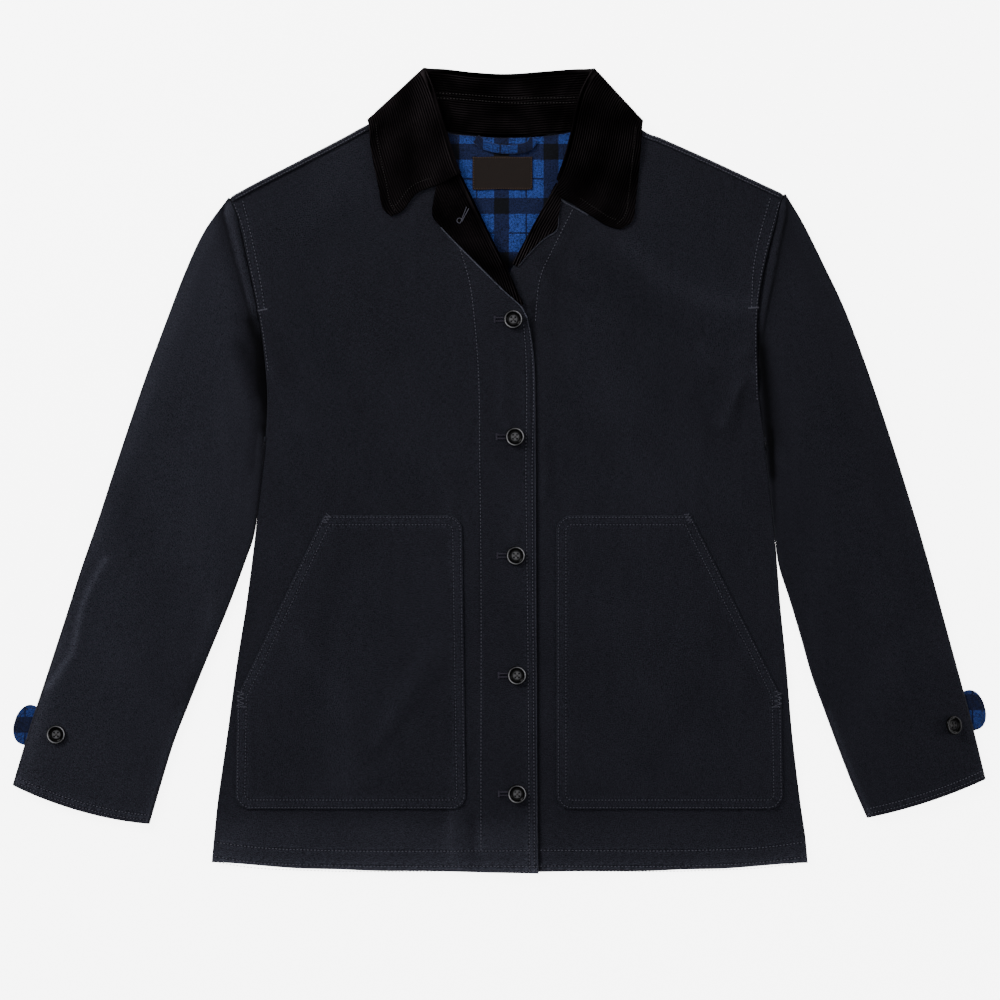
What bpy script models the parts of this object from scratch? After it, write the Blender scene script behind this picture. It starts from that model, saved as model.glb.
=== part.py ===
"""Barn coat laid flat on its back: canvas body and sleeves, corduroy collar, flannel lining at the neck.

Run with: blender --background --python part.py
Outlines are in board millimetres: x to the right and y down, from the top left corner of the
one-metre square that the coat is laid out in. Heights are millimetres above the table.
Left and right are the wearer's, so the right front lies on the side of small x.
"""
import math

import bmesh
import bpy
from mathutils import Matrix, Vector

MM = 0.001
COLLECTION = "barn_coat"

# The middle of the laid-out coat on the board, which becomes the part's origin
LAID_CENTRE_X = 499.56
LAID_CENTRE_Y = 470.68

# Cloth walls and the gap between neighbouring pieces
CANVAS = 2.0
CORDUROY = 2.4
FACING = 1.6
FLANNEL = 1.2
POCKET_CLOTH = 1.6
LABEL_CLOTH = 1.0
GAP = 0.3
LAID_GAP = 0.45

# How far the front stands off the back, and how far in from an edge it takes to get there
BODY_PUFF = 3.4
PUFF_REACH = 60.0
SEAM_FLAT = 5.0
SLEEVE_FOLD_RADIUS = 2.0
SLEEVE_PUFF = 1.9
SLEEVE_REACH = 45.0

# The collar's free edge runs on under the back of the neck, and lifts the back panel there
UNDER_COLLAR_EDGE = [(366, 131), (395, 140), (430, 147), (510, 151), (590, 148), (622, 141), (645, 133)]
UNDER_COLLAR_FADE = 90.0

# Where the right front laps over the left one
LAP_START_X = 440.0
LAP_RAMP = 50.0
LAP_STEP = CANVAS + GAP
CROSSING_STEP = FACING + GAP

# Outlines of the body, one row for each level from the hem up to the neck:
# side and front edge of the right front, front edge and side of the left front
BODY_LEVELS = [
    ("hem", (211.5, 862.5), (538.6, 873.5), (488, 873), (808, 863)),
    ("hem stitching", (214, 836), (538, 845), (488, 845), (805.5, 836)),
    ("pocket bottom", (218, 798), (537.5, 806), (488, 806), (800, 798)),
    ("lower pocket", (227, 735), (537, 740), (488, 740), (792.5, 735)),
    ("pocket slant", (236.5, 665), (537, 670), (488, 670), (786.5, 665)),
    ("middle pocket", (246, 605), (536.5, 600), (488, 600), (780.5, 605)),
    ("pocket top", (253.5, 548), (536, 530), (488, 530), (776, 548)),
    ("below underarm", (260, 490), (536, 465), (488, 465), (770, 490)),
    ("underarm", (265.5, 440), (535.5, 410), (488, 415), (764.5, 440)),
    ("armhole low", (267.5, 395), (534.5, 365), (488, 367), (758.5, 395)),
    ("foot of the neck", (264, 350), (527, 318), (490, 325), (757, 350)),
    ("armhole middle", (257.5, 308), (509, 281), (500.5, 289), (757.5, 308)),
    ("mid neck", (248, 261), (484.2, 231), (525.3, 247), (765, 262)),
    ("gorge", (239, 220), (457, 183), (560.5, 189), (776, 221)),
    ("neck side", (234, 207), (430, 146), (586, 148), (779, 207)),
    ("shoulder", (230.5, 200), (421.5, 105), (599.5, 105), (783, 197)),
]
UNDERARM = 8

# The hem hangs this far below a straight line between the corners, quickly gained at the sides
FRONT_HEM_SAG = 4.6
BACK_HEM_SAG = 9.0
HEM_CORNER = 0.3

# Top outline of each shoulder, from the sleeve to the neck
SHOULDER_RIGHT = [(229.5, 197), (259, 181), (299, 160.5), (342, 138.5), (369, 124), (421, 99)]
SHOULDER_LEFT = [(784, 194), (756, 181), (712, 160.5), (663, 139), (643, 130.5), (600, 99)]
SHOULDER_LAP = 2.4
FRONT_SHOULDER_INSET = 4.3

# Neck seam across the back
BACK_NECK = [(421, 102), (447, 132.5), (482, 136.5), (510, 137.5), (543, 136), (574, 131), (600, 102)]

# Sleeves, one row for each level from armhole to cuff: outer edge, inner edge
SLEEVE_RIGHT = [
    ((229.2, 197.5), (264.5, 440)),
    ((205, 231), (260.8, 462)),
    ((186, 271), (257.3, 487)),
    ((167, 320), (254.5, 512)),
    ((148, 371), (251.0, 538)),
    ((131, 420), (245, 562)),
    ((114, 471), (231, 600)),
    ((98, 520), (216, 637)),
    ((81, 569), (202, 671)),
    ((65, 619), (188, 706)),
    ((48, 671), (174, 742)),
    ((30, 726), (162, 781)),
    ((12.2, 785), (149.5, 824)),
]
SLEEVE_LEFT = [
    ((784.8, 193.6), (766.3, 440)),
    ((803, 224), (768.5, 463)),
    ((823, 264), (771.4, 487)),
    ((843, 306), (774.2, 513)),
    ((861, 352), (777.2, 540)),
    ((877.5, 399), (780.5, 567)),
    ((894, 449), (790, 600)),
    ((910, 500), (801, 637)),
    ((925, 550), (812, 676)),
    ((940, 604), (825, 712)),
    ((955, 659), (839, 750)),
    ((971, 718), (853, 786)),
    ((986, 779), (867, 818)),
]
CUFF_SAG_RIGHT = 6.5
CUFF_SAG_LEFT = 3.5
ARMHOLE_SEAM_GAP = 0.9
ARMHOLE_END = 0.12

# Soft folds: the line each follows, its height (a trough is negative) and its half width
SLEEVE_FOLDS = {
    "right": [
        ([(224, 214), (237, 260), (248, 300), (257, 335), (262, 366), (262, 420)], -2.2, 7.0),
        ([(252, 335), (257, 380), (258, 420), (255, 455)], -1.2, 14.0),
        ([(106, 560), (91, 588), (79, 625), (74, 655), (62, 676), (48, 690)], 1.0, 8.0),
        ([(211, 640), (204, 664), (190, 694), (182, 706)], -0.9, 8.0),
    ],
    "left": [
        ([(783, 214), (776, 250), (769, 290), (763, 330), (760, 360), (764, 410)], -2.2, 7.0),
        ([(764, 345), (768, 385), (771, 420), (773, 450)], -1.2, 12.0),
        ([(868, 500), (882, 560), (880, 620), (893, 700)], 0.8, 12.0),
    ],
}

# Patch pockets: level, inner x and outer x, the outer side being next to the side seam
POCKET_TOP = 515.5
POCKET_BOTTOM = 808.5
POCKET_CORNER = 15.0
POCKETS = {
    "right": {"inner_top": 462.0, "inner_bottom": 466.0, "mouth_top": 324.0,
              "mouth_low": (237.5, 697.0), "outer_bottom": 236.0},
    "left": {"inner_top": 556.5, "inner_bottom": 556.5, "mouth_top": 690.5,
             "mouth_low": (781.0, 697.0), "outer_bottom": 782.5},
}

# Turned-back facings: fold line and free edge, from the collar down
FACING_RIGHT = [
    ((462.5, 178.5), (444.5, 187)),
    ((467, 187), (436.5, 200)),
    ((473, 199), (433, 217)),
    ((480, 214), (446, 232.5)),
    ((490, 235), (463, 249.5)),
    ((499.5, 254), (480.5, 267)),
    ((508.5, 272), (496, 282.5)),
    ((514.5, 285.5), (506, 292.5)),
]
FACING_LEFT = [
    ((553, 191), (559, 203)),
    ((547.5, 199.5), (558, 214)),
    ((541, 211), (557, 228.5)),
    ((534.5, 222.5), (547.5, 236)),
    ((527.5, 235), (537.5, 245.5)),
    ((520.5, 248.5), (528, 256)),
    ((514.5, 259.5), (520.5, 265.0)),
]
FACING_TUCK = 4.5

# Collar, from a front end round the neck: neck seam, roll line and free edge of the fall
COLLAR_RIGHT = [
    ((455.5, 176.0), (460.5, 174.5), (391, 217)),
    ((451, 168), (455.5, 163), (382.5, 208)),
    ((445, 158), (451, 149.5), (379, 189)),
    ((437, 144), (445, 129), (373.5, 163)),
    ((431, 129), (439, 109.5), (370.5, 144)),
    ((427, 115), (432, 87), (370, 131)),
]
COLLAR_LEFT = [
    ((561.5, 181.0), (557.0, 181.0), (620, 230)),
    ((565, 174), (561.0, 170.0), (632.5, 221)),
    ((571, 163), (566.5, 153), (635.5, 200)),
    ((579, 148), (571.5, 133), (638.5, 172)),
    ((586, 132), (576, 111), (640.5, 148)),
    ((591, 117), (583, 86), (641.3, 134)),
]
# Free front edge of each fall, from the roll line to the point
COLLAR_FRONT_EDGE_RIGHT = [(458.5, 175.5), (444, 184), (430, 188.5), (416, 195), (403, 211), (391, 217)]
COLLAR_FRONT_EDGE_LEFT = [(557.6, 183), (559, 196.5), (574, 205.5), (590, 216), (606, 226), (620, 230)]
COLLAR_PEAK_RIGHT = (423.5, 69.0)
COLLAR_PEAK_LEFT = (594.5, 69.6)
COLLAR_CORNER_RIGHT = (367.6, 120.6)
COLLAR_CORNER_LEFT = (642.8, 121.6)
COLLAR_NECK_RIGHT = (425.5, 103.5)
COLLAR_NECK_LEFT = (595.0, 103.5)
# Where the collar comes out of each side fold on its way round the back: seam, roll, free edge
BACK_START_RIGHT = ((432, 115), (433, 69.6), (371, 131))
BACK_START_LEFT = ((588, 115), (585, 70.0), (640, 132))
COLLAR_TOP = [(446, 70), (476, 73.5), (510, 74.8), (545, 72.2), (572, 70.2)]
STAND_SEAM = [(447, 131.2), (476, 135), (510, 136.4), (545, 134.6), (574, 129.6)]
ROLL_RADIUS = 2.2
FOLD_SQUARENESS = 0.7
FRONT_ROLL_HEIGHT = 13.6
FRONT_STAND_HEIGHT = 9.2
FRONT_SEAM_HEIGHT = 8.8
BACK_STAND_HEIGHT = 6.5
BACK_SEAM_HEIGHT = 6.3
FALL_COLUMNS = [0.08, 0.2, 0.36, 0.52, 0.68, 0.84, 1.0]
STAND_COLUMNS = [0.0, 0.35, 0.7]

# Lining at the back neck, from the collar seam down under the fronts
LINING_TOP = [(436, 123.5), (447, 133.2), (482, 137.2), (510, 138.2), (543, 136.7), (574, 131.7), (584, 123)]
LINING_SIDE_RIGHT = [(436, 123.5), (441, 160), (444, 200), (448, 262), (460, 325)]
LINING_SIDE_LEFT = [(584, 123), (581, 160), (580, 200), (576, 262), (562, 325)]

# Locker loop, label, buttons and cuff tabs
LOOP_PATH = [(476, 139.0), (484, 145.5), (496, 149.0), (509, 150.2), (522, 148.8), (530, 145.6), (534, 139.5)]
LOOP_WIDTH = 9.0
LABEL_CORNERS = ((472.5, 157.0), (532.5, 190.0))
BUTTON_DIAMETER = 19.0
BUTTON_THICKNESS = 3.4
BUTTON_BEVEL = 1.8
BUTTON_HOLE = 1.9
BUTTON_HOLE_SPACING = 3.9
BUTTON_SIDES = 18
FRONT_BUTTONS = [(513.2, 320), (515.0, 437), (515.8, 555.5), (517.0, 675), (517.2, 793)]
CUFF_BUTTONS = {"right": (57.0, 734.0, 0.0), "left": (951.5, 724.6, 30.0)}
CUFF_BUTTON_AXIS = (0.26, -0.966, 0.0)
TAB_WIDTH = 41.0
TAB_LENGTH = 16.2
TABS = {"right": ((29.7, 725.8), (-0.955, -0.30)), "left": ((969.7, 710.9), (0.962, -0.27))}

CANVAS_COLOUR = (26, 27, 33)
CORDUROY_COLOUR = (9, 8, 8)
FLANNEL_COLOUR = (38, 66, 140)
BUTTON_COLOUR = (14, 14, 15)
LABEL_COLOUR = (44, 37, 33)


# Curves and distances on the board

def ease(t):
    t = min(max(t, 0.0), 1.0)
    return t * t * (3.0 - 2.0 * t)


def lerp(a, b, t):
    return tuple(p + (q - p) * t for p, q in zip(a, b))


def curve_through(points):
    """A smooth curve through the points, as a function of 0 to 1 with equal shares between points."""
    last = len(points) - 1

    def at(t):
        place = min(max(t, 0.0), 1.0) * last
        k = min(int(place), last - 1)
        f = place - k
        p1, p2 = points[k], points[k + 1]
        p0 = points[k - 1] if k > 0 else tuple(2 * a - b for a, b in zip(p1, p2))
        p3 = points[k + 2] if k + 2 <= last else tuple(2 * b - a for a, b in zip(p1, p2))
        return tuple(
            0.5 * (2 * b + (c - a) * f + (2 * a - 5 * b + 4 * c - d) * f ** 2
                   + (3 * b - a - 3 * c + d) * f ** 3)
            for a, b, c, d in zip(p0, p1, p2, p3))
    return at


def inset_curve(curve, distance):
    """The curve moved sideways: to its right as the board is seen, if distance is positive."""
    step = 0.002

    def at(t):
        a, b = curve(max(t - step, 0.0)), curve(min(t + step, 1.0))
        along = Vector((b[0] - a[0], b[1] - a[1])).normalized()
        x, y = curve(t)
        return (x - along.y * distance, y + along.x * distance)
    return at


def line_distance(x, y, points):
    best = 1.0e9
    for (ax, ay), (bx, by) in zip(points, points[1:]):
        dx, dy = bx - ax, by - ay
        t = ((x - ax) * dx + (y - ay) * dy) / (dx * dx + dy * dy)
        t = min(max(t, 0.0), 1.0)
        best = min(best, math.hypot(x - ax - dx * t, y - ay - dy * t))
    return best


def coons(bottom, top, left, right):
    """A patch between four edge curves: u runs from left to right, v from bottom to top."""
    c00, c10, c01, c11 = left(0.0), right(0.0), left(1.0), right(1.0)

    def at(u, v):
        b, t, l, r = bottom(u), top(u), left(v), right(v)
        return tuple(
            (1 - v) * b[i] + v * t[i] + (1 - u) * l[i] + u * r[i]
            - ((1 - u) * (1 - v) * c00[i] + u * (1 - v) * c10[i] + (1 - u) * v * c01[i] + u * v * c11[i])
            for i in range(2))
    return at


# Heights of the layers above the table

RIGHT_SIDE = [row[1] for row in BODY_LEVELS]
RIGHT_FRONT_EDGE = [row[2] for row in BODY_LEVELS]
LEFT_FRONT_EDGE = [row[3] for row in BODY_LEVELS]
LEFT_SIDE = [row[4] for row in BODY_LEVELS]
HEM_LINE = [RIGHT_SIDE[0], (310, 871), (700, 872.5), LEFT_SIDE[0]]
SHUT_EDGES = [
    RIGHT_SIDE[:UNDERARM + 1] + [(268, 432)],
    LEFT_SIDE[:UNDERARM + 1] + [(762, 432)],
    HEM_LINE,
    SHOULDER_RIGHT,
    SHOULDER_LEFT,
]


def back_underside(x, y):
    """The back lies on the table, and on the edge of the collar where that runs under it."""
    edge_y = curve_y(UNDER_COLLAR_EDGE, x)
    if edge_y is not None and y <= edge_y:
        return CORDUROY + GAP
    far = line_distance(x, y, UNDER_COLLAR_EDGE)
    return (CORDUROY + GAP) * (1.0 - ease(far / UNDER_COLLAR_FADE))


def curve_y(points, x):
    for (ax, ay), (bx, by) in zip(points, points[1:]):
        if ax <= x <= bx:
            return ay + (by - ay) * (x - ax) / (bx - ax)
    return None


def back_top(x, y):
    return back_underside(x, y) + CANVAS


def puff(distance, height, reach):
    return height * math.sin(min(max(distance / reach, 0.0), 1.0) * math.pi / 2)


def front_underside(x, y):
    """The fronts lie close to the back at every seam and stand off it in between."""
    edge = min(line_distance(x, y, line) for line in SHUT_EDGES)
    return back_top(x, y) + GAP + puff(edge - SEAM_FLAT, BODY_PUFF, PUFF_REACH)


def lap_lift(x, y):
    """Extra height of the right front where it lies on the left one, most where the facings cross."""
    across = ease((x - LAP_START_X) / LAP_RAMP)
    along = ease((y - 205.0) / 60.0)
    crossing = ease((y - 215.0) / 55.0) * (1.0 - ease((y - 305.0) / 55.0))
    return across * (LAP_STEP * along + CROSSING_STEP * crossing)


def right_front_underside(x, y):
    return front_underside(x, y) + lap_lift(x, y)


def front_top(side, x, y):
    bottom = right_front_underside(x, y) if side == "right" else front_underside(x, y)
    return bottom + CANVAS


# Building meshes

def to_world(x, y, z):
    return Vector(((x - LAID_CENTRE_X) * MM, (LAID_CENTRE_Y - y) * MM, z * MM))


def material(name, rgb, roughness, metallic=0.0):
    made = bpy.data.materials.get(name)
    if made:
        return made
    made = bpy.data.materials.new(name)
    made.use_nodes = True
    shader = made.node_tree.nodes["Principled BSDF"]
    linear = [((c / 255 + 0.055) / 1.055) ** 2.4 if c > 10 else c / 255 / 12.92 for c in rgb]
    shader.inputs["Base Color"].default_value = (*linear, 1.0)
    shader.inputs["Roughness"].default_value = roughness
    shader.inputs["Metallic"].default_value = metallic
    return made


def canvas():
    return material("navy_canvas", CANVAS_COLOUR, 0.9)


def corduroy():
    return material("black_corduroy", CORDUROY_COLOUR, 0.95)


def flannel():
    return material("plaid_flannel", FLANNEL_COLOUR, 0.95)


def button_plastic():
    return material("black_button_plastic", BUTTON_COLOUR, 0.25)


def label_weave():
    return material("woven_label", LABEL_COLOUR, 0.85)


def place(name, mesh, finish):
    mesh.materials.clear()
    mesh.materials.append(finish)
    obj = bpy.data.objects.new(name, mesh)
    bpy.data.collections[COLLECTION].objects.link(obj)
    mesh.shade_smooth()
    mesh.set_sharp_from_angle(angle=math.radians(40))
    return obj


def sheet(name, patches, wall, finish, closed=False):
    """Cloth from rows of middle-surface points; patches that share an edge are sewn into one sheet."""
    bm = bmesh.new()
    for rows in patches:
        grid = [[bm.verts.new(to_world(*point)) for point in row] for row in rows]
        across = len(grid[0])
        for upper, lower in zip(grid, grid[1:]):
            for j in range(across if closed else across - 1):
                k = (j + 1) % across
                bm.faces.new((upper[j], lower[j], lower[k], upper[k]))
    if len(patches) > 1:
        bmesh.ops.remove_doubles(bm, verts=bm.verts, dist=0.02 * MM)
        bmesh.ops.recalc_face_normals(bm, faces=bm.faces)
    mesh = bpy.data.meshes.new(name)
    bm.to_mesh(mesh)
    bm.free()
    obj = place(name, mesh, finish)
    thick = obj.modifiers.new("wall", "SOLIDIFY")
    thick.thickness = wall * MM
    thick.offset = 0.0
    obj.modifiers.new("even_shading", "WEIGHTED_NORMAL")
    return obj


def hem_curve(left, right, sag):
    """The hem drops quickly from each corner and then runs level."""
    def at(u):
        x, y = lerp(left, right, u)
        return (x, y + sag * ease(min(u, 1.0 - u) / HEM_CORNER))
    return at


# Body

def build_front(side):
    right = side == "right"
    levels = len(BODY_LEVELS)
    outer = curve_through(RIGHT_SIDE if right else LEFT_SIDE)
    inner = curve_through(RIGHT_FRONT_EDGE if right else LEFT_FRONT_EDGE)
    shoulder = SHOULDER_RIGHT if right else SHOULDER_LEFT
    top = inset_curve(curve_through(shoulder), FRONT_SHOULDER_INSET if right else -FRONT_SHOULDER_INSET)
    corner = outer(1.0), inner(1.0)
    shoulder_ends = top(0.0), top(1.0)

    def top_edge(u):
        x, y = top(u)
        miss = lerp((corner[0][0] - shoulder_ends[0][0], corner[0][1] - shoulder_ends[0][1]),
                    (corner[1][0] - shoulder_ends[1][0], corner[1][1] - shoulder_ends[1][1]), u)
        return (x + miss[0], y + miss[1])

    def bottom_edge(u):
        x, y = lerp(outer(0.0), inner(0.0), u)
        return (x, y + FRONT_HEM_SAG * (ease(u / HEM_CORNER) - u))

    patch = coons(bottom_edge, top_edge, outer, inner)
    underside = right_front_underside if right else front_underside
    columns = [0.0, 0.025, 0.07, 0.13, 0.2, 0.3, 0.42, 0.54, 0.66, 0.76, 0.83, 0.89, 0.94, 0.97, 1.0]
    places = [0, 0.35, 0.7, 1.1, 1.6, 2.3, 3, 4, 5, 6, 7, 8, 8.5, 9, 9.5]
    places += [10 + i / 3 for i in range(12)] + [14, 14.5, 15]
    rows = []
    for level in places:
        row = []
        for u in columns:
            x, y = patch(u, level / (levels - 1))
            row.append((x, y, underside(x, y) + CANVAS / 2))
        rows.append(row if right else row[::-1])
    rows.reverse()
    return sheet("front_panel_" + side, [rows], CANVAS, canvas())


def shoulder_flange(line, inward):
    """The back turned over the shoulder and lapped a little way on to the front."""
    radius = CANVAS + GAP
    folds = 7
    rows = [[] for _ in range(folds)]
    for i in range(7):
        t = i / 6
        base = inset_curve(line, inward * (CANVAS / 2 + radius))(t)
        middle = back_top(*base) + GAP + CANVAS / 2
        for k in range(5):
            angle = math.radians(-90 + 45 * k)
            x, y = inset_curve(line, inward * (CANVAS / 2 + radius * (1 - math.cos(angle))))(t)
            rows[k].append((x, y, middle + radius * math.sin(angle)))
        for k, beyond in ((5, 0.5), (6, 1.0)):
            x, y = inset_curve(line, inward * (CANVAS / 2 + radius + SHOULDER_LAP * beyond))(t)
            rows[k].append((x, y, front_underside(x, y) + CANVAS + GAP + CANVAS / 2))
    return rows


def build_back():
    left = inset_curve(curve_through(RIGHT_SIDE), GAP)
    right = inset_curve(curve_through(LEFT_SIDE), -GAP)
    hem = hem_curve(left(0.0), right(0.0), BACK_HEM_SAG)
    radius = CANVAS + GAP
    shoulder_right = inset_curve(curve_through(SHOULDER_RIGHT), CANVAS / 2 + radius)
    shoulder_left = inset_curve(curve_through(SHOULDER_LEFT), -(CANVAS / 2 + radius))
    neck = curve_through([shoulder_right(1.0)] + BACK_NECK[1:-1] + [shoulder_left(1.0)])
    neck_start, neck_end = 0.34, 0.66

    def top(u):
        if u <= neck_start:
            return shoulder_right(u / neck_start)
        if u >= neck_end:
            return shoulder_left((1.0 - u) / (1.0 - neck_end))
        return neck((u - neck_start) / (neck_end - neck_start))

    def closed_side(edge, end):
        """The side line, led smoothly into the end of the shoulder fold."""
        def at(v):
            x, y = edge(v)
            miss = end[0] - edge(1.0)[0], end[1] - edge(1.0)[1]
            share = ease((v - 0.93) / 0.07)
            return (x + miss[0] * share, y + miss[1] * share)
        return at

    patch = coons(hem, top, closed_side(left, top(0.0)), closed_side(right, top(1.0)))
    columns = [neck_start * i / 6 for i in range(6)]
    columns += [neck_start + (neck_end - neck_start) * i / 8 for i in range(8)]
    columns += [neck_end + (1.0 - neck_end) * i / 6 for i in range(7)]
    heights = [i / 15 for i in range(11)] + [0.7, 0.735, 0.78, 0.82, 0.855, 0.89, 0.92, 0.95, 0.975, 1.0]
    rows = []
    for v in reversed(heights):
        row = []
        for u in columns:
            x, y = patch(u, v)
            row.append((x, y, back_underside(x, y) + CANVAS / 2))
        rows.append(row)
    flanges = [shoulder_flange(curve_through(SHOULDER_RIGHT), 1), shoulder_flange(curve_through(SHOULDER_LEFT), -1)]
    return sheet("back_panel", [rows] + flanges, CANVAS, canvas())


# Sleeves

def sleeve_middle(side, x, y):
    """Height of the middle of the sleeve's upper layer."""
    levels = SLEEVE_RIGHT if side == "right" else SLEEVE_LEFT
    near = min(line_distance(x, y, [row[0] for row in levels]), line_distance(x, y, [row[1] for row in levels]))
    inside = near - SLEEVE_FOLD_RADIUS
    height = CANVAS / 2 + 2 * SLEEVE_FOLD_RADIUS + puff(inside, SLEEVE_PUFF, SLEEVE_REACH)
    for line, rise, half_width in SLEEVE_FOLDS[side]:
        away = line_distance(x, y, line) / half_width
        height += rise * math.exp(-away * away) * ease(inside / 8.0)
    return height


def sleeve_patch(side):
    levels = SLEEVE_RIGHT if side == "right" else SLEEVE_LEFT
    armhole = curve_through((RIGHT_SIDE if side == "right" else LEFT_SIDE)[:UNDERARM - 1:-1])
    outer = curve_through([row[0] for row in levels])
    inner = curve_through([row[1] for row in levels])
    sag = CUFF_SAG_RIGHT if side == "right" else CUFF_SAG_LEFT
    sign = -1 if side == "right" else 1

    def top(u):
        seam = armhole(u)
        x, y = seam[0] + ARMHOLE_SEAM_GAP * sign, seam[1]
        for share, end, seam_end in ((u, inner(0.0), armhole(1.0)), (1.0 - u, outer(0.0), armhole(0.0))):
            near_end = ease(1.0 - (1.0 - share) / ARMHOLE_END)
            x += (end[0] - seam_end[0] - ARMHOLE_SEAM_GAP * sign) * near_end
            y += (end[1] - seam_end[1]) * near_end
        return (x, y)

    def cuff(u):
        x, y = lerp(outer(1.0), inner(1.0), u)
        return (x, y + sag * 4 * u * (1 - u))

    return coons(top, cuff, outer, inner)


def build_sleeve(side):
    patch = sleeve_patch(side)
    levels = [0.0, 0.1, 0.2, 0.32, 0.46, 0.65, 0.9, 1.3, 2, 3, 4, 5, 6, 7, 8, 9, 10, 11, 12]
    radius = SLEEVE_FOLD_RADIUS
    edge_steps = [(0.0, 0.0), (1 - math.cos(math.radians(50)), math.sin(math.radians(50))), (1.0, 1.0)]
    rows = []
    for level in levels:
        v = level / 12
        a, b = patch(0.0, v), patch(1.0, v)
        width = math.hypot(b[0] - a[0], b[1] - a[1])

        row = []
        for share, lift in edge_steps[:2]:
            x, y = patch((radius * share + CANVAS / 2) / width, v)
            row.append((x, y, CANVAS / 2 + radius * (1 + lift)))
        for u in [(radius + CANVAS / 2) / width, 0.06, 0.13, 0.22, 0.32, 0.43, 0.54, 0.65, 0.75, 0.84, 0.91, 0.96,
                  1 - (radius + CANVAS / 2) / width]:
            x, y = patch(u, v)
            row.append((x, y, sleeve_middle(side, x, y)))
        for share, lift in (edge_steps[1], edge_steps[0], (edge_steps[1][0], -edge_steps[1][1])):
            x, y = patch(1 - (radius * share + CANVAS / 2) / width, v)
            row.append((x, y, CANVAS / 2 + radius * (1 + lift)))
        for u in [1 - (radius + CANVAS / 2) / width, 0.8, 0.6, 0.4, 0.2, (radius + CANVAS / 2) / width]:
            x, y = patch(u, v)
            row.append((x, y, CANVAS / 2))
        x, y = patch((radius * edge_steps[1][0] + CANVAS / 2) / width, v)
        row.append((x, y, CANVAS / 2 + radius * (1 - edge_steps[1][1])))
        rows.append(row)
    if side == "right":
        rows = [row[::-1] for row in rows]
    return sheet("sleeve_" + side, [rows], CANVAS, canvas(), closed=True)


# Collar

def collar_fold(front, back, apex, steps=5):
    """Half a turn from the front layer round an outer fold to the back layer, both ends but the first."""
    middle = (front[2] + back[2]) / 2
    radius = (front[2] - back[2]) / 2
    points = []
    for k in range(1, steps + 2):
        angle = math.radians(90 - 180 * k / (steps + 1))
        out = max(math.cos(angle), 0.0) ** FOLD_SQUARENESS
        up = abs(math.sin(angle)) ** FOLD_SQUARENESS
        x, y = lerp((front if angle > 0 else back)[:2], apex, out)
        points.append((x, y, middle + math.copysign(radius * up, angle)))
    return points


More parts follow.
